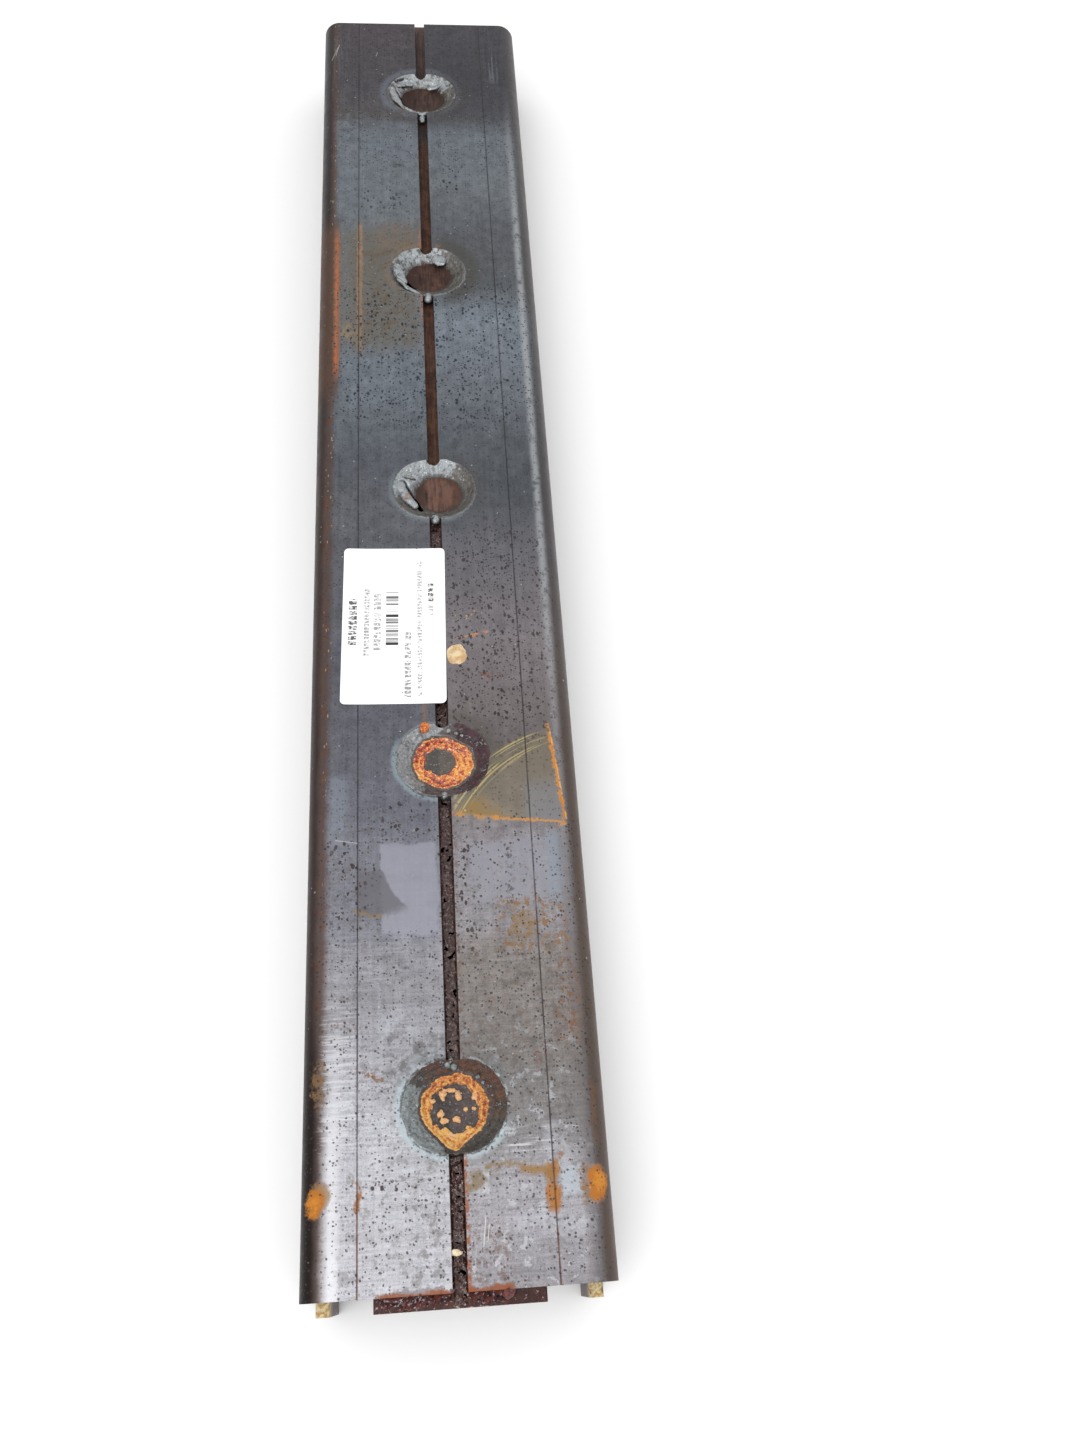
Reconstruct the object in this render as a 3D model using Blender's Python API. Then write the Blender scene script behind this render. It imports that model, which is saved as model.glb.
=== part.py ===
"""Wear shoe for a sliding packer panel, a welded assembly of bent plate, flat bar and weld beads.

Two bent wear plates face each other across a narrow slot and make an open channel. Round notches in the
slot's edges take the ring welds that hold both plates to a backing bar under the slot. A side bar on edge
lines each leg, held by stitch welds, and the backing bar carries a fillet weld at each end of each plate.

Units are metres and +Z is up. The wear face is on top and the shoe stands on the lower edges of its legs.
+Y runs along the shoe. The origin is the middle of its length and width, on the plane that it stands on.
"""

import math

import bmesh
import bpy
from mathutils import Matrix, Vector

INCH = 0.0254

# Driving dimensions.
SHELL_LENGTH = 34.5 * INCH
BAR_LENGTH = 35.0 * INCH
WIDTH = 0.1445
HEIGHT = 2.5 * INCH
PLATE = 0.25 * INCH
BEND_RADIUS = 0.012  # on the outside of the plate
SLOT = 0.007
BACKING_WIDTH = 0.078
BACKING_THICKNESS = 0.375 * INCH
SIDE_BAR_HEIGHT = 0.045
SIDE_BAR_THICKNESS = 0.25 * INCH
SIDE_BAR_LIFT = 0.0005  # the plates' legs reach a little lower, and carry the shoe
GAP = 0.0003  # between pieces that touch on the real shoe

# Ring welds, in the round notches along the slot.
NOTCH_RADIUS = 0.021
NOTCH_STEPS = 20  # straight edges in each half circle
RING_COUNT = 5
RING_END_DISTANCE = 3.125 * INCH  # from the plates' ends to the first and last ring
RING_RIM_DROP = 0.0008  # the ring's rim below the wear face
RING_TOE_HEIGHT = 0.0009
RING_FACE_STEPS = 4
RING_SAG = 0.0011  # how hollow the ring's sloping face is
OPEN_RING_BORE = 0.0125
RUSTED_RING_BORE = 0.0105
RINGS_RUSTED = 2  # counted from the -Y end

# Fillet welds.
END_WELD_LEG = 0.0056
END_WELDS = {"left": (-0.036, -0.005), "right": (0.005, 0.024)}  # from X to X, at the -Y end
STITCH_LEG = 0.005
STITCH_LENGTH = 0.040
STITCH_COUNT = 6
STITCH_PITCH = 0.146
BEAD_STATIONS = 9
BEAD_TAPER = 0.45  # the size of a bead at its ends, against its middle
BEAD_BULGE = 0.16  # how far a bead's face stands proud, against its leg

# Paper label on the wear face.
LABEL_WIDTH = 0.0585
LABEL_LENGTH = 0.102
LABEL_THICKNESS = 0.0003
LABEL_CORNER = 0.0025
LABEL_PLACE = (-0.0254, -0.0945)
LABEL_TURN = -0.018

BEND_STEPS = 10
CORNER_STEPS = 5

BACKING_TOP = HEIGHT - PLATE - GAP
LEG_INSIDE = WIDTH / 2 - PLATE
RING_PITCH = (SHELL_LENGTH - 2 * RING_END_DISTANCE) / (RING_COUNT - 1)


def clear_scene():
    for obj in list(bpy.data.objects):
        bpy.data.objects.remove(obj, do_unlink=True)


def steel(name, colour, roughness, metallic=1.0):
    """A Principled material with a plain colour."""
    made = bpy.data.materials.new(name)
    made.use_nodes = True
    shader = made.node_tree.nodes["Principled BSDF"]
    shader.inputs["Base Color"].default_value = (*colour, 1.0)
    shader.inputs["Roughness"].default_value = roughness
    shader.inputs["Metallic"].default_value = metallic
    return made


def object_from(name, shape, made_of, smooth_angle=30.0):
    """Turns a bmesh into an object whose faces point outwards."""
    bmesh.ops.recalc_face_normals(shape, faces=shape.faces)
    mesh = bpy.data.meshes.new(name)
    shape.to_mesh(mesh)
    shape.free()
    mesh.shade_smooth()
    mesh.set_sharp_from_angle(angle=math.radians(smooth_angle))
    if made_of:
        mesh.materials.append(made_of)
    obj = bpy.data.objects.new(name, mesh)
    bpy.context.scene.collection.objects.link(obj)
    return obj


def arc(centre, radius, start, end, steps):
    """Points on an arc, both ends included. Angles are in degrees."""
    angles = [math.radians(start + (end - start) * i / steps) for i in range(steps + 1)]
    return [(centre[0] + radius * math.cos(a), centre[1] + radius * math.sin(a)) for a in angles]


def prism(shape, outline, depth):
    """Adds a closed prism to a bmesh: an outline of 3D points, swept along the vector depth."""
    base = shape.faces.new([shape.verts.new(point) for point in outline])
    swept = bmesh.ops.extrude_face_region(shape, geom=[base], use_keep_orig=True)
    moved = [item for item in swept["geom"] if isinstance(item, bmesh.types.BMVert)]
    bmesh.ops.translate(shape, verts=moved, vec=depth)


def shell_outline():
    """Cross-section of the plate on the +X side: flange, bend and leg."""
    bend_x, bend_z = WIDTH / 2 - BEND_RADIUS, HEIGHT - BEND_RADIUS
    outside = arc((bend_x, bend_z), BEND_RADIUS, 90, 0, BEND_STEPS)
    inside = arc((bend_x, bend_z), BEND_RADIUS - PLATE, 0, 90, BEND_STEPS)
    lower = [(WIDTH / 2, 0.0), (LEG_INSIDE, 0.0)]
    return [(SLOT / 2, HEIGHT), *outside, *lower, *inside, (SLOT / 2, HEIGHT - PLATE)]


def ring_places():
    first = -SHELL_LENGTH / 2 + RING_END_DISTANCE
    return [first + RING_PITCH * i for i in range(RING_COUNT)]


def slotted_circle(radius):
    """Outline of two half circles whose centres are a slot's width apart."""
    right = arc((SLOT / 2, 0.0), radius, -90, 90, NOTCH_STEPS)
    left = arc((-SLOT / 2, 0.0), radius, 90, 270, NOTCH_STEPS)
    return right + left


def make_notch_cutter():
    """Helper that cuts the round notches out of both plates."""
    shape = bmesh.new()
    low = HEIGHT - 2 * PLATE
    for y in ring_places():
        outline = [(px, py + y, low) for px, py in slotted_circle(NOTCH_RADIUS)]
        prism(shape, outline, Vector((0.0, 0.0, 3 * PLATE)))
    cutter = object_from("notch_cutter", shape, None)
    cutter.hide_render = True
    cutter.display_type = "WIRE"
    return cutter


def make_shell(name, side, cutter, made_of):
    """One bent wear plate. side is 1 for +X and -1 for -X."""
    outline = [(side * x, -SHELL_LENGTH / 2, z) for x, z in shell_outline()]
    shape = bmesh.new()
    prism(shape, outline, Vector((0.0, SHELL_LENGTH, 0.0)))
    shell = object_from(name, shape, made_of)
    notches = shell.modifiers.new("notches", "BOOLEAN")
    notches.operation = "DIFFERENCE"
    notches.solver = "EXACT"
    notches.object = cutter


def make_flat_bar(name, low, high, made_of):
    """A bar between two opposite corners, with the bar's length along Y."""
    corners = [(low[0], low[2]), (high[0], low[2]), (high[0], high[2]), (low[0], high[2])]
    shape = bmesh.new()
    prism(shape, [(x, low[1], z) for x, z in corners], Vector((0.0, high[1] - low[1], 0.0)))
    object_from(name, shape, made_of)


def make_bars(bar_steel):
    """The backing bar under the slot, and a side bar on edge inside each leg."""
    half = BAR_LENGTH / 2
    backing_low = (-BACKING_WIDTH / 2, -half, BACKING_TOP - BACKING_THICKNESS)
    make_flat_bar("backing_bar", backing_low, (BACKING_WIDTH / 2, half, BACKING_TOP), bar_steel)
    for name, side in (("side_bar_left", -1), ("side_bar_right", 1)):
        far = side * (LEG_INSIDE - GAP)
        near = far - side * SIDE_BAR_THICKNESS
        low = (min(far, near), -half, SIDE_BAR_LIFT)
        high = (max(far, near), half, SIDE_BAR_LIFT + SIDE_BAR_HEIGHT)
        make_flat_bar(name, low, high, bar_steel)


def ring_section():
    """Cross-section of a ring weld: how far in from the notch wall, from 0 to 1, and how high."""
    floor = BACKING_TOP + GAP
    rim = HEIGHT - RING_RIM_DROP
    toe = floor + RING_TOE_HEIGHT
    section = [(0.0, floor), (0.0, rim)]
    for i in range(1, RING_FACE_STEPS + 1):
        share = i / RING_FACE_STEPS
        sag = RING_SAG * math.sin(math.pi * share)
        section.append((share, rim + (toe - rim) * share - sag))
    section.append((1.0, floor))
    return section


def make_ring_weld(name, y, bore, made_of):
    """Fillet weld round the inside of a notch pair, joining both plates to the backing bar."""
    outer = slotted_circle(NOTCH_RADIUS - GAP)
    shape = bmesh.new()
    loops = []
    for px, py in outer:
        angle = math.atan2(py, px)
        inner = Vector((bore * math.cos(angle), bore * math.sin(angle)))
        station = [
            (Vector((px, py)).lerp(inner, share), height) for share, height in ring_section()
        ]
        loops.append([shape.verts.new((p.x, p.y + y, height)) for p, height in station])
    close_tube(shape, loops)
    object_from(name, shape, made_of)


def close_tube(shape, loops):
    """Joins cross-sections into a closed ring."""
    count = len(loops[0])
    for i, loop in enumerate(loops):
        following = loops[(i + 1) % len(loops)]
        for j in range(count):
            k = (j + 1) % count
            shape.faces.new((loop[j], loop[k], following[k], following[j]))


def fillet_section(leg):
    """Cross-section of a fillet weld with its corner at the origin: legs along -Y and +Z."""
    bulge = BEAD_BULGE * leg
    middle = (-leg / 2 - bulge, leg / 2 + bulge)
    shoulder = 0.75 * bulge
    lower = (-0.8 * leg - shoulder, 0.2 * leg + shoulder)
    upper = (-0.2 * leg - shoulder, 0.8 * leg + shoulder)
    return [(0.0, 0.0), (-leg, 0.0), lower, middle, upper, (0.0, leg)]


def make_fillet_weld(name, length, leg, place, turn, made_of):
    """A bead along local X that tapers at both ends, set at place and turned about Z."""
    shape = bmesh.new()
    loops = []
    for i in range(BEAD_STATIONS):
        along = -1 + 2 * i / (BEAD_STATIONS - 1)
        size = leg * (BEAD_TAPER + (1 - BEAD_TAPER) * (1 - along**4))
        x = along * length / 2
        loops.append([shape.verts.new((x, y, z)) for y, z in fillet_section(size)])
    for loop, following in zip(loops, loops[1:]):
        for j in range(len(loop)):
            k = (j + 1) % len(loop)
            shape.faces.new((loop[j], loop[k], following[k], following[j]))
    shape.faces.new(loops[0])
    shape.faces.new(list(reversed(loops[-1])))
    bead = object_from(name, shape, made_of)
    bead.location = place
    bead.rotation_euler = (0.0, 0.0, turn)


def make_end_welds(weld_steel):
    """Beads between the plates' end faces and the top of the backing bar, at both ends of the shoe."""
    height = BACKING_TOP + GAP
    for side, (start, end) in END_WELDS.items():
        middle, length = (start + end) / 2, end - start
        reach = SHELL_LENGTH / 2 + GAP
        near, far = (middle, -reach, height), (middle, reach, height)
        make_fillet_weld(f"end_weld_near_{side}", length, END_WELD_LEG, near, 0.0, weld_steel)
        make_fillet_weld(f"end_weld_far_{side}", length, END_WELD_LEG, far, math.pi, weld_steel)


def make_stitch_welds(weld_steel):
    """Short beads between the top edge of each side bar and the inside of the leg."""
    height = SIDE_BAR_LIFT + SIDE_BAR_HEIGHT + GAP
    for name, side in (("left", -1), ("right", 1)):
        for i in range(STITCH_COUNT):
            y = (i - (STITCH_COUNT - 1) / 2) * STITCH_PITCH
            place = (side * (LEG_INSIDE - GAP), y, height)
            turn = -side * math.pi / 2
            bead = f"stitch_weld_{name}_{i + 1}"
            make_fillet_weld(bead, STITCH_LENGTH, STITCH_LEG, place, turn, weld_steel)


def make_label(paper):
    """Rounded paper label that lies across the slot."""
    x, y = LABEL_WIDTH / 2 - LABEL_CORNER, LABEL_LENGTH / 2 - LABEL_CORNER
    corners = [((x, y), 0), ((-x, y), 90), ((-x, -y), 180), ((x, -y), 270)]
    outline = []
    for centre, start in corners:
        outline += arc(centre, LABEL_CORNER, start, start + 90, CORNER_STEPS)
    shape = bmesh.new()
    prism(shape, [(px, py, 0.0) for px, py in outline], Vector((0.0, 0.0, LABEL_THICKNESS)))
    label = object_from("label", shape, paper)
    place = Matrix.Translation((*LABEL_PLACE, HEIGHT + GAP))
    label.matrix_world = place @ Matrix.Rotation(LABEL_TURN, 4, "Z")


def main():
    clear_scene()
    wear_steel = steel("wear_plate_steel", (0.16, 0.17, 0.19), 0.42)
    bar_steel = steel("bar_steel", (0.075, 0.045, 0.035), 0.6)
    weld_steel = steel("weld_metal", (0.38, 0.40, 0.40), 0.45)
    rusted_weld = steel("rusted_weld_metal", (0.42, 0.15, 0.035), 0.75, 0.3)
    paper = steel("label_paper", (0.9, 0.9, 0.9), 0.55, 0.0)

    cutter = make_notch_cutter()
    make_shell("shell_left", -1, cutter, wear_steel)
    make_shell("shell_right", 1, cutter, wear_steel)
    make_bars(bar_steel)
    for i, y in enumerate(ring_places()):
        rusted = i < RINGS_RUSTED
        bore = RUSTED_RING_BORE if rusted else OPEN_RING_BORE
        make_ring_weld(f"ring_weld_{i + 1}", y, bore, rusted_weld if rusted else weld_steel)
    make_end_welds(weld_steel)
    make_stitch_welds(weld_steel)
    make_label(paper)


main()
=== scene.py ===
"""Looks for the wear shoe of a sliding packer panel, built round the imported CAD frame.

Everything is in metres in the CAD frame: +Z up, +Y along the shoe, with the near end at -Y. Inside the
materials, lengths are in millimetres and the distance along the shoe counts from the plates' near end.
"""

import math
import random

import bmesh
import bpy
from mathutils import Matrix, Vector, noise


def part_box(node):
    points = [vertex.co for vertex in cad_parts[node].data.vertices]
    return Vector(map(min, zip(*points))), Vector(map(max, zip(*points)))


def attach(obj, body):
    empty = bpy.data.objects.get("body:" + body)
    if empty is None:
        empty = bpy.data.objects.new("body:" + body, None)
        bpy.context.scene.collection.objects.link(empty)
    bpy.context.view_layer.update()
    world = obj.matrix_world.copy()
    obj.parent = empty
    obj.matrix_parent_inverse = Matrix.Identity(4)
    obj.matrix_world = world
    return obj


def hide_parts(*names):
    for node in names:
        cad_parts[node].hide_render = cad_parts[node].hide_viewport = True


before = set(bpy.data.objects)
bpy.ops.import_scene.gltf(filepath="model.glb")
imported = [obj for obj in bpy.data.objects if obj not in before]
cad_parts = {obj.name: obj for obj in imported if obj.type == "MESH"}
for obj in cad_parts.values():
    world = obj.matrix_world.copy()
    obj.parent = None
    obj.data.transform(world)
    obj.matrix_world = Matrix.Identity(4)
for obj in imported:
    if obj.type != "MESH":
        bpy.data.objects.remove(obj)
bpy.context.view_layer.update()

# Places that come from the CAD frame.
PLATE_LOW, PLATE_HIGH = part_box("shell_right")
BAR_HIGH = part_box("backing_bar")[1]
WEAR_Z = PLATE_HIGH[2]
HALF_WIDTH = PLATE_HIGH[0]
HALF_LENGTH = PLATE_HIGH[1]
HALF_SLOT = PLATE_LOW[0]
BAR_TOP = BAR_HIGH[2]
BAR_HALF = BAR_HIGH[1]
RING_BOXES = [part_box(f"ring_weld_{i}") for i in range(1, 6)]
RING_CENTRES = [(low[1] + high[1]) / 2 for low, high in RING_BOXES]

PLATE = 0.00635
BEND_RADIUS = 0.012
NOTCH_RADIUS = 0.021
EDGE_ROUND = 0.0005  # worn edges of the plates
END_ROUND = 0.00025  # sawn ends of the bars
SINK = 0.0001  # how far a bead or deposit reaches into what it lies on
SIDES = {"left": -1, "right": 1}
PRESS_LINES = {-1: 0.0457, 1: 0.0449}  # marks of the bending die, from the middle
PRESS_DEPTH = 0.00012
NEAR_MM = HALF_LENGTH * 1000
RING_FIRST_MM = RING_CENTRES[0] * 1000 + NEAR_MM
RING_PITCH_MM = (RING_CENTRES[1] - RING_CENTRES[0]) * 1000

# Camera, floor and light.
CAMERA_PLACE = (-0.0001, -0.4305, 0.6354)
CAMERA_TURN = (25.667, -3.587, -3.793)  # degrees about X, Y and Z
LENS_MM = 28.8
SENSOR_MM = 36.0
FLOOR_SIZE = 12.0
LAMP_PLACE = (-0.5, -0.9, 1.9)
LAMP_TARGET = (0.0, -0.1, 0.0)
LAMP_SIZE = 1.6
LAMP_WATTS = 16.0
LIGHT_BALANCE = 0.87  # the share of each colour's level that gives its tone under this light


# ---------------------------------------------------------------- material graphs

def tone(red, green, blue):
    """A colour given in display levels from 0 to 255, as linear values."""
    levels = []
    for level in (red, green, blue):
        share = level / 255
        levels.append(share / 12.92 if share <= 0.04045 else ((share + 0.055) / 1.055) ** 2.4)
    return (*levels, 1.0)


class Field:
    """A value in a material's graph that can be used in arithmetic."""

    def __init__(self, paint, socket):
        self.paint, self.socket = paint, socket

    def __add__(self, other):
        return self.paint.math("ADD", self, other)

    def __sub__(self, other):
        return self.paint.math("SUBTRACT", self, other)

    def __rsub__(self, other):
        return self.paint.math("SUBTRACT", other, self)

    def __mul__(self, other):
        return self.paint.math("MULTIPLY", self, other)

    def __truediv__(self, other):
        return self.paint.math("DIVIDE", self, other)

    def __pow__(self, other):
        return self.paint.math("POWER", self, other)

    def __abs__(self):
        return self.paint.math("ABSOLUTE", self)

    __radd__ = __add__
    __rmul__ = __mul__


class Paint:
    """A material graph, with coordinates in millimetres of the piece's own frame."""

    def __init__(self, name, specular=0.5):
        self.material = bpy.data.materials.new(name)
        self.material.use_nodes = True
        self.tree = self.material.node_tree
        self.shader = self.tree.nodes["Principled BSDF"]
        self.shader.inputs["Specular IOR Level"].default_value = specular
        coordinates = self.node("ShaderNodeTexCoord").outputs["Object"]
        split = self.node("ShaderNodeSeparateXYZ")
        self.tree.links.new(coordinates, split.inputs[0])
        self.x, self.y, self.z = (Field(self, out) * 1000.0 for out in split.outputs)
        self.draws = 0  # textures made so far, each of which is moved to its own place
        self.colour = None

    def node(self, kind):
        return self.tree.nodes.new(kind)

    def put(self, socket, value):
        if isinstance(value, Field):
            self.tree.links.new(value.socket, socket)
        else:
            socket.default_value = value

    def math(self, operation, *values):
        made = self.node("ShaderNodeMath")
        made.operation = operation
        for socket, value in zip(made.inputs, values):
            self.put(socket, value)
        return Field(self, made.outputs[0])

    def most(self, *fields):
        made = fields[0]
        for field in fields[1:]:
            made = self.math("MAXIMUM", made, field)
        return made

    def least(self, *fields):
        made = fields[0]
        for field in fields[1:]:
            made = self.math("MINIMUM", made, field)
        return made

    def rise(self, value, start, end):
        """0 at start and 1 at end, smooth in between, whichever of the two is larger."""
        if start > end:
            return 1.0 - self.rise(value, end, start)
        made = self.node("ShaderNodeMapRange")
        made.interpolation_type = "SMOOTHSTEP"
        self.put(made.inputs["Value"], value)
        self.put(made.inputs["From Min"], start)
        self.put(made.inputs["From Max"], end)
        return Field(self, made.outputs[0])

    def band(self, value, middle, half, soft):
        return self.rise(abs(value - middle), half + soft, half - soft)

    def fold(self, y):
        """Distance along the shoe from the nearest ring weld's centre."""
        half = RING_PITCH_MM / 2
        return self.math("FLOORED_MODULO", y - (RING_FIRST_MM - half), RING_PITCH_MM) - half

    def place(self, x, y, z):
        made = self.node("ShaderNodeCombineXYZ")
        for socket, value in zip(made.inputs, (x, y, z)):
            self.put(socket, value)
        return made.outputs[0]

    def spot(self, stretch, shift, at=None):
        """A place to look a texture up, stretched or given, and moved so that no two are alike."""
        x, y = at or (self.x * (1 / stretch[0]), self.y * (1 / stretch[1]))
        return self.place(x + shift, y - shift, self.z * (1 / stretch[2]) + shift / 2)

    def noise(self, size, detail=2.0, rough=0.5, stretch=(1.0, 1.0, 1.0), at=None):
        """Cloud noise with features about size millimetres across, from 0 to 1."""
        self.draws += 1
        made = self.node("ShaderNodeTexNoise")
        self.tree.links.new(self.spot(stretch, 37.3 * self.draws, at), made.inputs["Vector"])
        made.inputs["Scale"].default_value = 1 / size
        made.inputs["Detail"].default_value = detail
        made.inputs["Roughness"].default_value = rough
        return Field(self, made.outputs[0])

    def grains(self, size, largest, smallest=0.0, stretch=(1.0, 1.0, 1.0), spread=None):
        """Grains, one to a cell of size millimetres, of random radius in cells. 1 in a grain.

        A negative smallest radius leaves some cells empty. spread moves the places, which makes the grains
        ragged.
        """
        self.draws += 1
        made = self.node("ShaderNodeTexVoronoi")
        at = None
        if spread is not None:
            at = ((self.x + spread) / stretch[0], (self.y - spread * 0.7) / stretch[1])
        self.tree.links.new(self.spot(stretch, 51.7 * self.draws, at), made.inputs["Vector"])
        made.inputs["Scale"].default_value = 1 / size
        split = self.node("ShaderNodeSeparateColor")
        self.tree.links.new(made.outputs["Color"], split.inputs[0])
        radius = smallest + (largest - smallest) * Field(self, split.outputs[0])
        return self.rise(Field(self, made.outputs["Distance"]) - radius, 0.06, -0.06)

    def mix(self, share, first, second):
        made = self.node("ShaderNodeMix")
        made.data_type = "RGBA"
        self.put(made.inputs["Factor"], share)
        self.put(made.inputs[6], first)
        self.put(made.inputs[7], second)
        return Field(self, made.outputs[2])

    def two_tone(self, share, first, second):
        """A mix of two colours that are given in display levels."""
        return self.mix(share, tone(*first), tone(*second))

    def lay(self, mask, strength, levels):
        """Covers the paint's colour where the mask is 1 with another, as levels or as a field."""
        share = mask * strength if strength != 1 else mask
        self.colour = self.mix(share, self.colour, levels if isinstance(levels, Field) else tone(*levels))

    def scale_colour(self, colour, factor):
        """A colour times a number."""
        grey = self.node("ShaderNodeCombineColor")
        for socket in grey.inputs[:3]:
            self.put(socket, factor)
        made = self.node("ShaderNodeMix")
        made.data_type, made.blend_type = "RGBA", "MULTIPLY"
        made.inputs["Factor"].default_value = 1.0
        self.put(made.inputs[6], colour)
        self.put(made.inputs[7], Field(self, grey.outputs[0]))
        return Field(self, made.outputs[2])

    def tones(self, value, stops):
        """Colours along a value: (position, (red, green, blue)) with positions in ascending order."""
        low, high = stops[0][0], stops[-1][0]
        made = self.node("ShaderNodeValToRGB")
        self.put(made.inputs[0], (value - low) / (high - low))
        elements = made.color_ramp.elements
        elements.remove(elements[1])
        for i, (position, levels) in enumerate(stops):
            share = (position - low) / (high - low)
            element = elements[0] if i == 0 else elements.new(share)
            element.position = share
            element.color = tone(*levels)
        return Field(self, made.outputs[0])

    def finish(self, roughness, metallic, height=None, coat=0.0, balance=LIGHT_BALANCE):
        """Joins the graph to the shader. height is in millimetres."""
        colour = self.colour if balance == 1 else self.scale_colour(self.colour, balance)
        self.put(self.shader.inputs["Base Color"], colour)
        self.put(self.shader.inputs["Roughness"], roughness)
        self.put(self.shader.inputs["Metallic"], metallic)
        if coat:
            self.shader.inputs["Coat Weight"].default_value = coat
            self.shader.inputs["Coat Roughness"].default_value = 0.12
        if height is not None:
            bump = self.node("ShaderNodeBump")
            bump.inputs["Distance"].default_value = 0.001
            self.put(bump.inputs["Height"], height)
            self.tree.links.new(bump.outputs[0], self.shader.inputs["Normal"])
        return self.material


class Marks:
    """Places of marks on a flat face, as masks from 0 to 1 over x and y in millimetres."""

    def __init__(self, paint, x, y):
        self.paint, self.x, self.y = paint, x, y

    def box(self, left, right, near, far, soft):
        across = self.paint.band(self.x, (left + right) / 2, (right - left) / 2, soft)
        return across * self.paint.band(self.y, (near + far) / 2, (far - near) / 2, soft)

    def spot(self, x, y, wide, long, soft=0.3):
        across, along = (self.x - x) / wide, (self.y - y) / long
        return self.paint.rise((across * across + along * along) ** 0.5, 1 + soft, 1 - soft)

    def line(self, start, end, half, soft):
        """A straight mark between two points."""
        run, climb = end[0] - start[0], end[1] - start[1]
        along = ((self.x - start[0]) * run + (self.y - start[1]) * climb) / (run * run + climb * climb)
        along = self.paint.least(self.paint.most(along, 0.0), 1.0)
        off_x = self.x - start[0] - along * run
        off_y = self.y - start[1] - along * climb
        return self.paint.rise((off_x * off_x + off_y * off_y) ** 0.5, half + soft, half - soft)


# ---------------------------------------------------------------- plate material

LEFT_TONES = [
    (0, (171, 171, 176)), (45, (171, 171, 176)), (70, (176, 176, 182)), (100, (166, 166, 172)),
    (130, (144, 143, 148)), (157, (152, 151, 157)), (163, (138, 139, 147)), (205, (134, 135, 145)),
    (235, (115, 116, 126)), (262, (105, 106, 114)), (330, (101, 102, 109)), (420, (104, 106, 112)),
    (462, (96, 99, 106)), (510, (116, 123, 130)), (560, (120, 126, 134)), (640, (115, 119, 123)),
    (700, (117, 123, 130)), (750, (114, 120, 128)), (778, (92, 90, 93)), (805, (83, 80, 85)),
    (900, (86, 79, 83)),
]
RIGHT_TONES = [
    (0, (139, 136, 140)), (30, (155, 153, 158)), (52, (152, 150, 154)), (70, (132, 129, 130)),
    (100, (132, 128, 126)), (150, (141, 136, 134)), (157, (144, 139, 138)), (163, (149, 146, 150)),
    (205, (150, 147, 153)), (235, (132, 125, 123)), (265, (118, 110, 110)), (330, (136, 130, 133)),
    (400, (112, 112, 118)), (430, (89, 92, 97)), (470, (96, 99, 104)), (520, (117, 122, 130)),
    (575, (128, 136, 145)), (600, (100, 103, 107)), (650, (97, 99, 104)), (700, (116, 121, 127)),
    (750, (113, 119, 126)), (775, (82, 82, 87)), (810, (72, 72, 77)), (900, (84, 81, 85)),
]
PIT_TONES = [(0, (74, 66, 64)), (420, (62, 54, 54)), (470, (52, 60, 70)), (900, (48, 54, 60))]
LEG_TONES = [(0.36, (52, 45, 44)), (0.48, (76, 66, 63)), (0.56, (92, 78, 72)), (0.64, (116, 96, 84))]
SCRATCH_LINES = [
    ((-57, 214.5), (-46, 212.6)), ((11, 17), (12.5, 30)), ((13, 20), (14, 27)),
    ((-66, 834), (-61, 848)), ((-63, 838), (-60.5, 850)), ((-33, 838), (-32, 842)),
]

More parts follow.
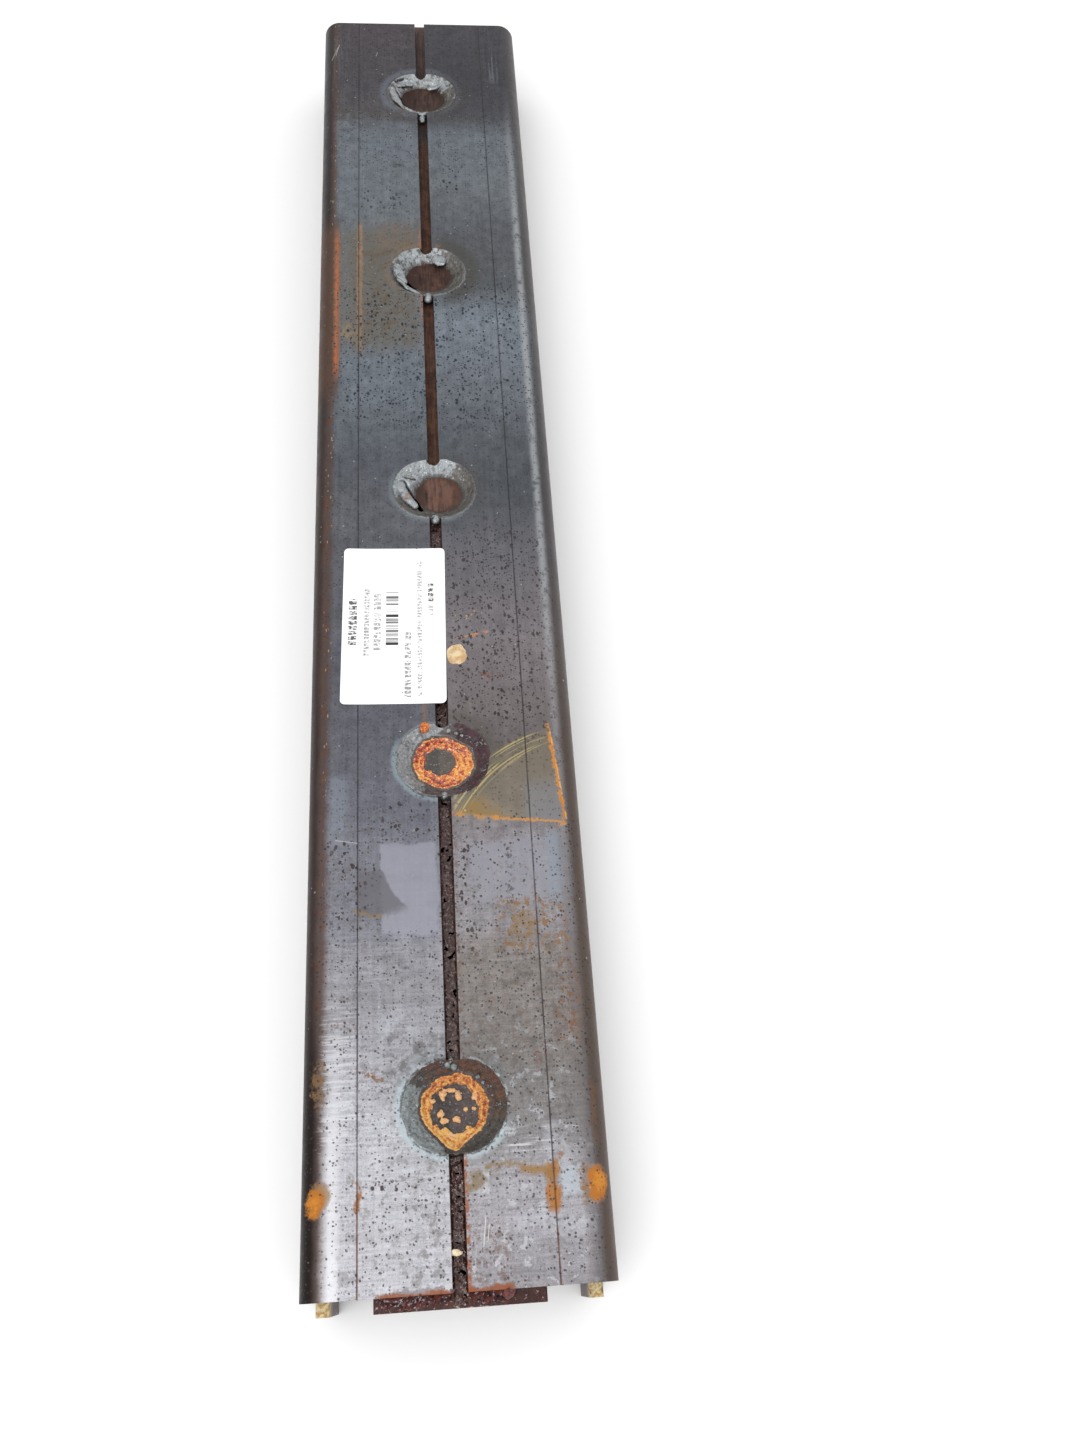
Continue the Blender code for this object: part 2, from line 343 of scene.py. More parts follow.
# Marks with ragged edges: shape, its numbers, edge, strength, texture and colour. A box has left, right,
# near and far; a spot has its middle and its half width and length; a line has two ends and a half width.
PLATE_MARKS = [
    # Near end and first ring weld, left plate.
    ("box", (-24, -4, 2, 58), 7, 0.5, "blotchy", (112, 108, 108)),
    ("box", (-56, -26, 4, 34), 8, 0.35, "blotchy", (126, 124, 126)),
    ("box", (-40, -4, 84, 112), 7, 0.55, "blotchy", (98, 97, 97)),
    ("box", (-62, -47, 60, 128), 4, 0.5, "scuffs", (206, 207, 211)),
    ("box", (-36, -18, 110, 126), 4, 0.5, "patchy", (186, 188, 196)),
    ("box", (-47, -32, 92, 99), 2, 0.85, "flecks", (132, 92, 54)),
    ("spot", (-63.5, 93, 4.2, 11), 0.3, 0.8, "patchy", (124, 94, 62)),
    ("spot", (-62.0, 44, 4.6, 5.0), 0.3, 0.75, "", (160, 122, 76)),
    ("spot", (-64.8, 41, 4.2, 6.2), 0.25, 0.95, "", (180, 110, 34)),
    ("spot", (-65.8, 40, 2.8, 4.0), 0.5, 0.8, "patchy", (206, 134, 48)),
    ("box", (-46.8, -44.4, 36, 50), 0.8, 0.9, "patchy", (160, 100, 44)),
    ("box", (-64, -46, 118, 122), 2, 0.5, "flecks", (110, 84, 68)),
    # Near end, right plate.
    ("box", (4, 24, 2, 27), 4, 0.65, "flecks", (112, 94, 88)),
    ("box", (10, 44, 4, 8), 2, 0.5, "scuffs", (96, 94, 98)),
    ("box", (26, 60, 22, 31), 4, 0.4, "patchy", (188, 190, 197)),
    ("box", (24, 46, 57, 69), 2, 0.7, "scuffs", (206, 206, 211)),
    ("box", (42, 53, 50, 69), 2, 0.5, "patchy", (178, 180, 186)),
    ("box", (48, 57.5, 37, 50), 1, 0.65, "", (180, 188, 197)),
    ("line", (5, 45, 15, 49.5, 3.6), 1.6, 0.75, "patchy", (134, 114, 78)),
    ("line", (14, 51.5, 31, 52, 0.9), 0.9, 0.7, "", (146, 116, 76)),
    ("line", (32, 50, 43, 47.5, 2.1), 1.6, 0.85, "", (156, 118, 64)),
    ("line", (44, 50, 49, 55.5, 1.1), 0.7, 0.8, "patchy", (142, 92, 52)),
    ("box", (41.0, 47.2, 43, 52), 1.6, 0.85, "", (154, 110, 58)),
    ("spot", (44.2, 37, 3.3, 6.6), 0.3, 0.92, "", (172, 112, 44)),
    ("line", (44.5, 34, 46.8, 54, 0.8), 1.2, 0.8, "patchy", (176, 116, 52)),
    ("spot", (60.5, 42, 4.6, 8.0), 0.4, 0.8, "patchy", (142, 104, 60)),
    ("spot", (65.0, 41, 4.6, 8.0), 0.25, 0.95, "", (182, 112, 36)),
    ("spot", (66.0, 42, 3.0, 5.4), 0.5, 0.8, "patchy", (210, 140, 54)),
    ("box", (64.5, 67.5, 58, 88), 1, 0.7, "patchy", (112, 76, 52)),
    ("spot", (42.5, 101, 2.6, 4.0), 0.4, 0.9, "flecks", (134, 78, 48)),
    ("box", (4, 60, 72, 158), 8, 0.45, "blotchy", (100, 94, 90)),
    ("box", (4, 62, 100, 156), 8, 0.35, "flecks", (118, 100, 88)),
    # Speckled rust and stains between the first two ring welds.
    ("box", (25, 62, 153, 181), 4, 0.85, "flecks", (134, 100, 62)),
    ("box", (30, 44, 158, 178), 4, 0.7, "patchy", (134, 110, 78)),
    ("box", (53, 64, 106, 148), 3, 0.8, "flecks", (124, 86, 60)),
    ("spot", (23, 127.5, 2.4, 2.4), 0.4, 0.9, "flecks", (148, 92, 54)),
    ("box", (31, 33.6, 176, 209), 0.8, 0.8, "flecks", (92, 88, 90)),
    ("box", (52, 60, 176, 215), 2, 0.5, "", (146, 156, 168)),
    ("box", (-61, -51.5, 214, 250), 3, 0.5, "", (144, 152, 163)),
    ("box", (-60, -36, 158, 232), 6, 0.45, "blotchy", (108, 104, 106)),
    ("box", (-46, -6, 212, 236), 4, 0.4, "blotchy", (96, 94, 99)),
    ("line", (-47, 175.5, -34, 172.5, 0.8), 0.8, 0.75, "", (138, 116, 84)),
    # Beyond the second ring weld.
    ("line", (-10, 281, -9.0, 293, 1.6), 2.0, 0.5, "patchy", (140, 108, 76)),
    ("spot", (27, 309, 8, 1.8), 0.5, 0.9, "flecks", (120, 66, 54)),
    ("line", (9, 333, 27, 337.5, 0.55), 0.5, 0.95, "patchy", (204, 132, 72)),
    ("line", (5, 345, 23, 350, 1.6), 0.8, 0.9, "specks", (196, 158, 118)),
    ("box", (5, 58, 262, 420), 16, 0.3, "blotchy", (84, 80, 82)),
    # Rust and olive cloud round the fourth ring weld.
    ("box", (-57, -6, 552, 656), 9, 0.5, "", (118, 112, 100)),
    ("box", (-57, -6, 548, 652), 9, 0.5, "patchy", (112, 104, 92)),
    ("box", (-46, -7, 552, 652), 7, 0.65, "blotchy", (104, 90, 74)),
    ("box", (-57, -48, 556, 572), 4, 0.75, "patchy", (140, 118, 80)),
    ("box", (-34, -5, 638, 664), 5, 0.5, "patchy", (124, 104, 84)),
    ("spot", (-18, 718, 4.5, 9), 0.4, 0.7, "blotchy", (76, 80, 80)),
    # Far end.
    ("box", (-60, -6, 768, 779), 3, 0.6, "patchy", (88, 78, 70)),
    ("box", (6, 44, 764, 776), 3, 0.35, "patchy", (84, 78, 76)),
    ("box", (-62, -46, 725, 776), 4, 0.45, "blotchy", (128, 133, 139)),
    ("box", (50, 58, 810, 850), 4, 0.5, "streaky", (122, 126, 131)),
    ("box", (-66, -55, 790, 860), 4, 0.35, "streaky", (104, 108, 112)),
]
# Tints round the ring welds: the ring's number, radius, half width, edge, strength, texture, direction of
# the stronger side with where it starts and is full, and colour.
# The thin rings nearest the notch rim, light at 21.9 to 22.0 mm and dark at 22.1 mm, are a painted
# highlight and painted shade along the rim.
HALOS = [
    (1, 24.0, 3.2, 1.2, 0.6, "patchy", (0.0, 1.0), 2, 14, (104, 114, 116)),
    (1, 22.9, 1.4, 0.9, 0.85, "", (-0.5, -0.9), -12, 8, (168, 182, 187)),
    (1, 21.9, 0.5, 0.7, 0.8, "", (1.0, 0.1), 6, 16, (190, 202, 206)),
    (1, 26.4, 0.8, 1.0, 0.6, "patchy", (-0.3, -0.9), -8, 4, (128, 132, 132)),
    (1, 31.0, 3.4, 2.0, 0.5, "patchy", (0.0, 1.0), -4, 12, (100, 98, 98)),
    (2, 23.1, 1.4, 1.4, 0.8, "", (-0.75, -0.65), 4, 18, (150, 164, 171)),
    (1, 22.1, 0.6, 0.4, 0.8, "patchy", (0.2, 1.0), -30, -29, (70, 64, 62)),
    (2, 22.1, 0.6, 0.4, 0.8, "patchy", (0.2, 1.0), -30, -29, (66, 60, 60)),
    (2, 22.0, 0.6, 0.9, 0.6, "", (-0.8, 0.6), -4, 12, (156, 164, 168)),
    (2, 25.0, 4.0, 3.0, 0.5, "", (1.0, 0.2), 0, 14, (92, 88, 82)),
    (3, 23.2, 1.3, 1.6, 0.55, "", (-0.6, -0.8), -4, 12, (134, 144, 150)),
    (3, 21.9, 0.4, 0.6, 0.7, "", (0.1, -1.0), 2, 14, (160, 166, 168)),
    (3, 24.5, 2.5, 3.0, 0.45, "", (1.0, 0.5), 2, 16, (92, 92, 92)),
    (4, 23.4, 1.9, 1.2, 0.85, "patchy", (-0.8, 0.6), 0, 12, (148, 102, 74)),
    (4, 26.0, 5.5, 5.0, 0.75, "", (1.0, 0.1), 4, 17, (84, 82, 77)),
    (4, 21.9, 0.4, 0.6, 0.6, "", (0.6, -0.8), 4, 16, (160, 164, 164)),
    (5, 24.4, 2.6, 2.2, 0.65, "", (-0.7, 0.2), -12, 8, (118, 123, 134)),
    (5, 24.0, 1.8, 2.0, 0.45, "", (1.0, 0.3), 0, 14, (104, 104, 110)),
    (5, 30.0, 3.0, 5.0, 0.5, "", (0.6, -0.8), 4, 18, (74, 70, 70)),
]


def paint_plate(side):
    """Rolled steel: blued and worn bright by sliding, heat tinted round the welds, with rust marks, and
    painted light and shade on the bends and along the notch rims.
    """
    is_left = side < 0
    paint = Paint("wear_plate_left" if is_left else "wear_plate_right", 0.25)
    rise, band, most, grains, lay = paint.rise, paint.band, paint.most, paint.grains, paint.lay
    x, y = paint.x, paint.y + NEAR_MM

    broad = paint.noise(34, 3, 0.55)
    cloud = paint.noise(11, 5, 0.62)
    ragged = paint.noise(3.6, 5, 0.7)
    crumble = paint.noise(2.4, 4, 0.65)
    fine = paint.noise(0.8, 2, 0.6)
    mottle = paint.noise(8, 8, 0.74)
    brushed = paint.noise(2.2, 4, 0.65, stretch=(1.0, 26.0, 1.0))
    scuffed = paint.noise(1.3, 4, 0.65, stretch=(14.0, 1.0, 1.0))
    rough_x = x + (crumble - 0.5) * 5 + (mottle - 0.5) * 6
    rough_y = y + (ragged - 0.5) * 7 + (cloud - 0.5) * 5
    marks = Marks(paint, x, y)
    soft = Marks(paint, x + (cloud - 0.5) * 6, y + (broad - 0.5) * 16)
    rough = Marks(paint, rough_x, rough_y)

    # Broad tones along the shoe, broken up by blotches of every size.
    drift = y + (broad - 0.5) * 14
    tones = paint.tones(drift, LEFT_TONES if is_left else RIGHT_TONES)
    worn = rise(drift, 300, 120)
    shade = (1.0 + 0.6 * (cloud - 0.5) + (1.25 + 0.5 * worn) * (mottle - 0.5) + 0.55 * (brushed - 0.5)
             + 1.0 * (fine - 0.5) * (ragged + 0.3) + worn * (scuffed - 0.5) * 0.9)
    paint.colour = paint.scale_colour(tones, shade)

    # Dark blotches and light scuffs over the worn length.
    lay(rise(mottle, 0.55, 0.60) * rise(drift, 250, 140), 0.5, (100, 96, 96))
    lay(rise(mottle, 0.445, 0.40) * rise(drift, 175, 60), 0.5, (202, 203, 208))

    textures = {
        "flecks": rise(crumble * 0.5 + ragged * 0.5, 0.5, 0.56),
        "patchy": rise(ragged * 0.6 + cloud * 0.4, 0.44, 0.54),
        "blotchy": rise(mottle, 0.5, 0.56),
        "scuffs": rise(scuffed, 0.5, 0.6),
        "streaky": rise(brushed, 0.48, 0.58),
        "specks": grains(1.5, 0.5, 0.0),
    }

    def textured(mask, texture):
        return mask * textures[texture] if texture else mask

    # Smooth light patches with a darker stain beside the left one, and brown mill scale round the bends,
    # where painted shade darkens the outer curve towards the leg.
    wave = x + (cloud - 0.5) * 3
    if is_left:
        lay(soft.box(-34, -5, 165, 212, 1.0), 0.75, (158, 159, 170))
        stain = rough.box(-46, -19, 173, 206, 0.8) * (1.0 - soft.spot(-13, 205, 21, 30, 0.03))
        stain = stain * rise(rough_y - x * 0.42, 182.5, 189.5) * (1.0 - soft.box(-60, -34.5, 198, 240, 5))
        lay(stain, 0.8, (110, 108, 114))
        lay(soft.box(-58, -45, 178, 204, 3) * textures["patchy"], 0.4, (108, 106, 110))
        # Painted highlight: a light band along the left bend near the end.
        painted_bend_highlight = band(x + (crumble - 0.5) * 2, -57.0, 2.8, 2.2) * rise(drift, 150, 40)
        lay(painted_bend_highlight, 0.7, (206, 206, 210))
        # Painted shade over the brown mill scale: the left bend's outer curve darkens towards the leg and
        # is near black at its edge.
        outside = rise(wave, -58.5, -64.0)
        lay(outside, 0.92, (92, 76, 70))
        lay(outside * rise(mottle, 0.5, 0.6) * rise(y, 60, 140), 0.7, (98, 66, 50))
        lay(rise(wave, -64.5, -69.0), 0.9, (50, 40, 38))
        lay(rise(wave, -62.0, -67.0) * most(rise(y, 400, 640), rise(y, 150, 80)), 0.85,
            (30, 24, 24))
        lay(rise(x, -70.0, -71.8), 0.7, (38, 31, 31))
        cream = grains(3.0, 0.26, -0.1, stretch=(0.5, 1.5, 1.0))
        lay(cream * band(x, -62.5, 2.5, 2.0) * rise(y, 150, 260), 0.75, (172, 146, 122))
    else:
        lay(soft.box(12, 58, 176, 212, 1.4) * rise(mottle, 0.58, 0.52), 0.7, (158, 158, 167))
        # Painted reflection: a light streak along the right bend over the middle of the shoe.
        painted_bend_reflection = band(x + (cloud - 0.5) * 1.6, 62.2, 2.0, 1.8) * rise(drift, 120, 420)
        # Painted shade over the brown mill scale: a darker band on the right bend's near half, and its
        # outer curve darker towards the leg.
        lay(band(x, 61.0, 3.0, 2.5) * rise(drift, 300, 160), 0.5, (112, 106, 106))
        outside = rise(wave, 61.5, 68.0)
        lay(outside, 0.85, (80, 76, 76))
        lay(outside * rise(drift, 420, 200), 0.7, (96, 80, 70))
        lay(painted_bend_reflection * rise(drift, 820, 640) * rise(mottle, 0.66, 0.5), 0.75, (178, 180, 183))
        lay(rise(x, 68.5, 71.5) * rise(drift, 560, 700), 0.6, (58, 54, 50))

    # Heat tint round the ring welds, with a painted highlight and painted shade along the notch rims.
    along = paint.fold(y)
    reach = most(x * side - HALF_SLOT * 1000, 0.0)
    ring = (reach * reach + along * along) ** 0.5 + (ragged - 0.5) * 3.0 + (cloud - 0.5) * 3.0
    for number, radius, half, edge, strength, texture, toward, start, full, levels in HALOS:
        if toward[0] * side < -0.9:
            continue
        which = band(y, RING_FIRST_MM + RING_PITCH_MM * (number - 1), 60, 20)
        mask = band(ring, radius, half, edge) * which
        mask = mask * rise(x * toward[0] + along * toward[1], start, full)
        lay(textured(mask, texture), strength, levels)

    if is_left:
        # Rust streaks by the shoulder and along the press mark.
        streaks = rise(brushed * 0.5 + ragged * 0.5, 0.43, 0.54)
        sway = x + (ragged - 0.5) * 3.0
        lay(rise(wave, -57.0, -60.0) * band(drift, 588, 76, 12), 0.75, (92, 66, 52))
        lay(band(sway, -59.8, 1.7, 1.6) * band(drift, 592, 62, 14), 0.85, (142, 86, 54))
        lay(band(sway, -60.2, 1.0, 1.2) * streaks * band(y, 590, 60, 10), 0.8, (186, 104, 58))
        lay(band(sway, -45.0, 2.2, 1.2) * band(drift, 604, 54, 10), 0.75, (150, 112, 78))
        lay(band(sway, -45.0, 1.5, 0.8) * band(y, 604, 52, 10) * streaks, 0.85, (190, 128, 78))

    for kind, numbers, edge, strength, texture, levels in PLATE_MARKS:
        if (numbers[0] < 0) != is_left:
            continue
        if kind == "box":
            mask = rough.box(*numbers, edge)
        elif kind == "spot":
            mask = rough.spot(*numbers, edge)
        else:
            mask = rough.line(numbers[:2], numbers[2:4], numbers[4], edge)
        lay(textured(mask, texture), strength, levels)

    if not is_left:
        # Rubbed triangle on the right plate, with curved pale strokes along its long side.
        inside = (rise(y + x * 0.14, 227.0, 229.0) * rise(x + (y - 219) * 0.12, 64.5, 62.5)
                  * rise(y - x * 0.92 + (cloud - 0.5) * 8, 226, 219) * rise(x, 4.0, 5.0))
        lay(inside, 0.62, (126, 117, 98))
        lay(inside * rise(x + y * 1.2 + (ragged - 0.5) * 24, 312, 288), 0.8, (146, 116, 62))
        lay(inside * rise(x, 40, 46) * rise(y, 250, 236), 0.5, (146, 147, 156))
        run, climb = x * 0.74 + (y - 226) * 0.67, (y - 226) * 0.74 - x * 0.67
        climb = climb + (run - 34) * (run - 34) * 0.006
        stroke = paint.noise(1.25, 1, 0.4, at=(run * 0.035, climb))
        fan = band(climb, 3.4, 5.4, 1.6) * rise(run, 2, 9) * rise(run, 74, 60) * rise(x, 4, 6)
        lay(fan, 0.45, (126, 118, 92))
        lay(fan * rise(stroke, 0.545, 0.60), 0.85, (182, 164, 114))
        lay(rough.line((57.8, 277), (63.2, 224), 0.75, 0.5), 0.95, (206, 132, 48))
        lay(marks.line((58.4, 277), (64.2, 222), 0.25, 0.4) * textures["patchy"], 0.9, (238, 190, 112))
        lay(rough.line((62.2, 234), (62.8, 221), 0.5, 0.4), 0.9, (196, 122, 44))
        lay(rough.line((5, 227.4), (30, 223.4), 1.0, 0.7) * textures["patchy"], 0.85, (190, 136, 68))
        lay(rough.line((26, 224), (64, 219.2), 0.7, 0.5), 0.9, (204, 138, 56))

    # Plain mill scale with clouds of rust on the leg and inside.
    inside = rise(paint.z, 58.0, 57.3) * rise(x * side, 66.4, 66.0)
    plain = most(rise(paint.z, 55.5, 49.0), inside)
    scale = paint.tones(mottle * 0.5 + ragged * 0.3 + brushed * 0.2, LEG_TONES)
    lay(plain, 0.95, scale)
    lay(plain * rise(cloud + (ragged - 0.5) * 0.4, 0.54, 0.70), 0.6, (108, 80, 62))
    lay(plain * rise(scuffed, 0.60, 0.66) * rise(broad, 0.45, 0.55), 0.5, (146, 142, 142))

    # Scribed lines, the slot's rusty edges and the near ends, then pits and scale specks.
    rusty_edge = rise(crumble, 0.42, 0.52)
    pits = grains(2.6, 0.44, -0.12, stretch=(0.85, 1.25, 1.0), spread=(crumble - 0.5) * 3.2)
    specks = grains(1.5, 0.44, -0.2, spread=(ragged - 0.5) * 2.4)
    pit_colour = paint.tones(y, PIT_TONES)
    pit_zone = band(drift, 545, 62, 16) * rise(x * side, 59, 54) * rise(cloud, 0.30, 0.44)
    speck_zone = most(
        0.55, band(drift, 545, 66, 20), rise(drift, 240, 220) * rise(cloud, 0.36, 0.5),
        rise(drift, 690, 730))
    if is_left:
        for near, weight in ((37.0, 0.55), (47.8, 0.5)):
            lay(marks.box(-60, -4, near, near + 0.3, 0.5) * textures["patchy"], weight, (104, 98, 94))
        lay(band(x, -4.4, 0.6, 0.9) * band(y, 614, 40, 10), 0.7, (152, 90, 54))
        lay(band(x, -6, 31, 2) * rise(rough_y, 2.6, 0.8), 0.9, (150, 84, 44))
        lay(rough.box(-29, -8, 1.8, 3.0, 0.7), 0.6, (84, 80, 82))
        pit_zone = most(pit_zone, 0.8 * soft.box(-52, -8, 672, 700, 8), soft.box(-60, -40, 165, 222, 6),
                              soft.box(-34, -6, 214, 236, 5))
        speck_zone = speck_zone * (1.0 - soft.box(-34, -5, 168, 212, 2))
        lay(rough.box(-40, -5, 42, 48, 1.2) * grains(2.2, 0.5, 0.0), 0.9, (58, 42, 36))
    else:
        lay(marks.box(4, 60, 32.4, 32.8, 0.5) * textures["patchy"], 0.6, (96, 90, 86))
        lay(marks.box(4, 60, 47.6, 47.9, 0.5) * textures["patchy"], 0.4, (104, 98, 94))
        lay(band(x, 4.2, 0.7, 0.8) * rise(y, 60, 54) * rusty_edge, 0.95, (164, 90, 42))
        lay(band(x, 4.6, 0.9, 1.4) * band(y, 150, 90, 20) * textures["flecks"], 0.7, (116, 84, 70))
        lay(rise(x, 25, 23) * rise(rough_y, 2.6, 0.8), 0.9, (150, 84, 44))
        brown_pits = rise(x, 3, 8) * rise(x, 66, 58) * band(drift, 340, 72, 18)
        pit_zone = most(pit_zone, soft.box(6, 28, 690, 722, 4), 0.85 * brown_pits,
                              soft.box(13, 46, 276, 306, 6), marks.box(3, 15, 150, 216, 5))
        speck_zone = most(speck_zone, brown_pits)
    lay(pits * pit_zone, 0.92, pit_colour)
    lay(specks * speck_zone, 0.85, pit_colour)
    lay(grains(5.2, 0.15, -0.05, spread=(crumble - 0.5) * 3) * rise(y, 130, 60), 0.85, (56, 52, 56))

    # A fine dark press mark along the plate, and a few scratches.
    press = band(x, side * PRESS_LINES[side] * 1000, 0.3, 0.4)
    lay(press * (0.5 + 0.5 * rise(cloud, 0.3, 0.55)), 0.95, (50, 47, 49))
    lay(press * rise(y, 60, 46) * rusty_edge, 0.8, (124, 78, 48))
    for start, end in SCRATCH_LINES:
        if start[0] * side > 0:
            lay(marks.line(start, end, 0.14, 0.28), 0.8, (216, 214, 212))
    lay(grains(6.5, 0.07, -0.02), 0.7, (206, 200, 192))

    # Gloss, metal and relief. Where the colour is warm the steel is rusted: rougher and less metallic.
    paint.colour = paint.scale_colour(paint.colour, LIGHT_BALANCE)
    split = paint.node("ShaderNodeSeparateColor")
    paint.put(split.inputs[0], paint.colour)
    red, blue = Field(paint, split.outputs[0]), Field(paint, split.outputs[2])
    rusted = rise(red - blue, 0.02, 0.10)
    roughness = 0.36 + 0.3 * (cloud - 0.3) + 0.2 * (fine - 0.5) + 0.3 * rusted
    metallic = 0.9 - 0.84 * rusted
    height = 0.05 * cloud + 0.05 * crumble + 0.03 * ragged + 0.008 * brushed + 0.008 * fine
    height = height - 0.05 * pits * rise(y, 240, 300)
    return paint.finish(roughness, metallic, height, balance=1)


# ---------------------------------------------------------------- other materials

BAR_DARK = [(0, (54, 36, 34)), (400, (58, 44, 40)), (480, (74, 50, 42)), (740, (70, 48, 40)),
            (760, (50, 46, 46)), (800, (62, 52, 48)), (900, (84, 66, 62))]
BAR_LIGHT = [(0, (86, 60, 54)), (400, (96, 76, 68)), (480, (112, 80, 64)), (740, (104, 72, 58)),
             (760, (72, 66, 64)), (800, (88, 72, 66)), (900, (112, 92, 86))]
DISC_DARK = [(340, (92, 68, 60)), (500, (92, 68, 60)), (600, (64, 44, 42)), (700, (60, 44, 40))]
DISC_LIGHT = [(340, (122, 92, 80)), (500, (122, 92, 80)), (600, (94, 68, 58)), (700, (82, 64, 56))]


def paint_bars():
    """Flat bar: dark brown scale, wet rust near the end, bare brown discs inside the ring welds."""
    paint = Paint("bar_steel", 0.3)
    rise, band, lay = paint.rise, paint.band, paint.lay
    x, y, z = paint.x, paint.y + NEAR_MM, paint.z
    cloud = paint.noise(6, 4, 0.6)
    crumble = paint.noise(1.8, 4, 0.65)
    fine = paint.noise(0.6, 2, 0.6)
    lengthwise = paint.noise(1.2, 4, 0.65, stretch=(1.0, 16.0, 1.0))
    dark, light = paint.tones(y, BAR_DARK), paint.tones(y, BAR_LIGHT)
    paint.colour = paint.mix(rise(cloud * 0.5 + lengthwise * 0.5, 0.4, 0.6), dark, light)
    wet = rise(y, 130, 70)
    lay(wet * rise(crumble, 0.4, 0.6), 0.8, (64, 28, 26))
    lay(wet * rise(crumble, 0.58, 0.66), 0.8, (190, 168, 164))
    along = paint.fold(y)
    ring = (x * x + along * along) ** 0.5
    disc = rise(ring, 18.0, 16.5) * rise(y, 340, 350)
    scraped = paint.noise(1.6, 3, 0.6, stretch=(1.0, 9.0, 1.0))
    bare, shadow = paint.tones(y, DISC_LIGHT), paint.tones(y, DISC_DARK)
    floor = paint.mix(rise(scraped * 0.6 + cloud * 0.4, 0.4, 0.58), shadow, bare)
    lay(disc, 0.95, floor)
    # Painted shadow of the overhanging bead on the left of each disc, with a painted dark crevice line
    # beside it.
    wall = disc * rise(x + (crumble - 0.5) * 3, -4.0, -7.0)
    lay(wall, 0.75, (62, 45, 41))
    crevice_shade = band(x + (crumble - 0.5) * 2, -5.0, 0.9, 0.8) * band(along, -1.0, 4.0, 3.0)
    lay(disc * crevice_shade, 0.8, (40, 28, 26))
    lay(disc * rise(ring, 10.5, 14.0), 0.5, (64, 48, 42))
    lay(rise(cloud, 0.6, 0.7), 0.5, (120, 74, 46))
    # Sawn ends and the ends of the side bars, cream and rust.
    side_end = rise(abs(x), 57, 58) * rise(abs(paint.y), NEAR_MM - 3, NEAR_MM - 1)
    side_end = side_end * rise(z, 30, 44)
    lay(side_end, 0.95, paint.two_tone(rise(crumble, 0.4, 0.6), (226, 212, 166), (186, 146, 84)))
    lay(side_end * rise(cloud, 0.5, 0.6), 0.85, (104, 66, 40))
    rough = 0.62 + 0.2 * cloud - 0.3 * wet + 0.12 * (fine - 0.5)
    height = 0.16 * crumble + 0.05 * lengthwise + 0.02 * fine + 0.1 * cloud
    return paint.finish(rough, 0.4 - 0.3 * side_end, height)


def attribute(paint, name):
    made = paint.node("ShaderNodeAttribute")
    made.attribute_name = name
    return Field(paint, made.outputs["Fac"])


def shaded(levels, factor):
    """Display levels made darker or lighter."""
    return tuple(min(238, level * factor) for level in levels)


def paint_weld(name, light, dark, rust, shade_colour=(58, 46, 42)):
    """Weld metal. The mesh says how much painted shade, how bright and how rusty each point is; its
    brightness includes painted light on the lumps.
    """
    paint = Paint(name, 0.3)
    rise, lay, two_tone = paint.rise, paint.lay, paint.two_tone
    depth, silver, rusty = (attribute(paint, key) for key in ("depth", "silver", "rusty"))
    cloud = paint.noise(5, 4, 0.6)
    mottle = paint.noise(3, 6, 0.72)
    crumble = paint.noise(1.2, 4, 0.7)
    fine = paint.noise(0.5, 2, 0.6)
    grit = crumble * 0.55 + mottle * 0.45
    grey = two_tone(rise(grit, 0.42, 0.58), shaded(dark, 0.66), dark)
    bright = two_tone(rise(grit, 0.41, 0.56), shaded(light, 0.64), light)
    stain = two_tone(rise(crumble * 0.5 + cloud * 0.5, 0.42, 0.57), shaded(rust, 0.6), rust)
    paint.colour = paint.mix(rise(silver + (mottle - 0.5) * 1.5, 0.32, 0.68), grey, bright)
    # Thin dark lines among the grains: painted shade in fine crevices.
    lay(rise(grit, 0.60, 0.55) * rise(grit, 0.53, 0.56), 0.6, (70, 64, 62))
    lay(rise(rusty + (mottle - 0.5) * 2.6 + (crumble - 0.5) * 1.2, 0.3, 0.7), 0.92, stain)
    # Painted glints: small bright specks, strongest on the bright metal.
    lay(rise(crumble * 0.6 + cloud * 0.4, 0.43, 0.38), 0.35 + 0.6 * silver, shaded(light, 1.24))
    # Painted shade where depth is high: in hollows, along toes, in gouges and under lumps.
    lay(rise(depth + (crumble - 0.5) * 0.7, 0.62, 1.0), 0.9, shade_colour)
    height = 0.22 * crumble + 0.05 * fine + 0.14 * mottle
    return paint.finish(0.30 + 0.3 * crumble + 0.2 * rusty, 0.7 - 0.5 * rusty, height)


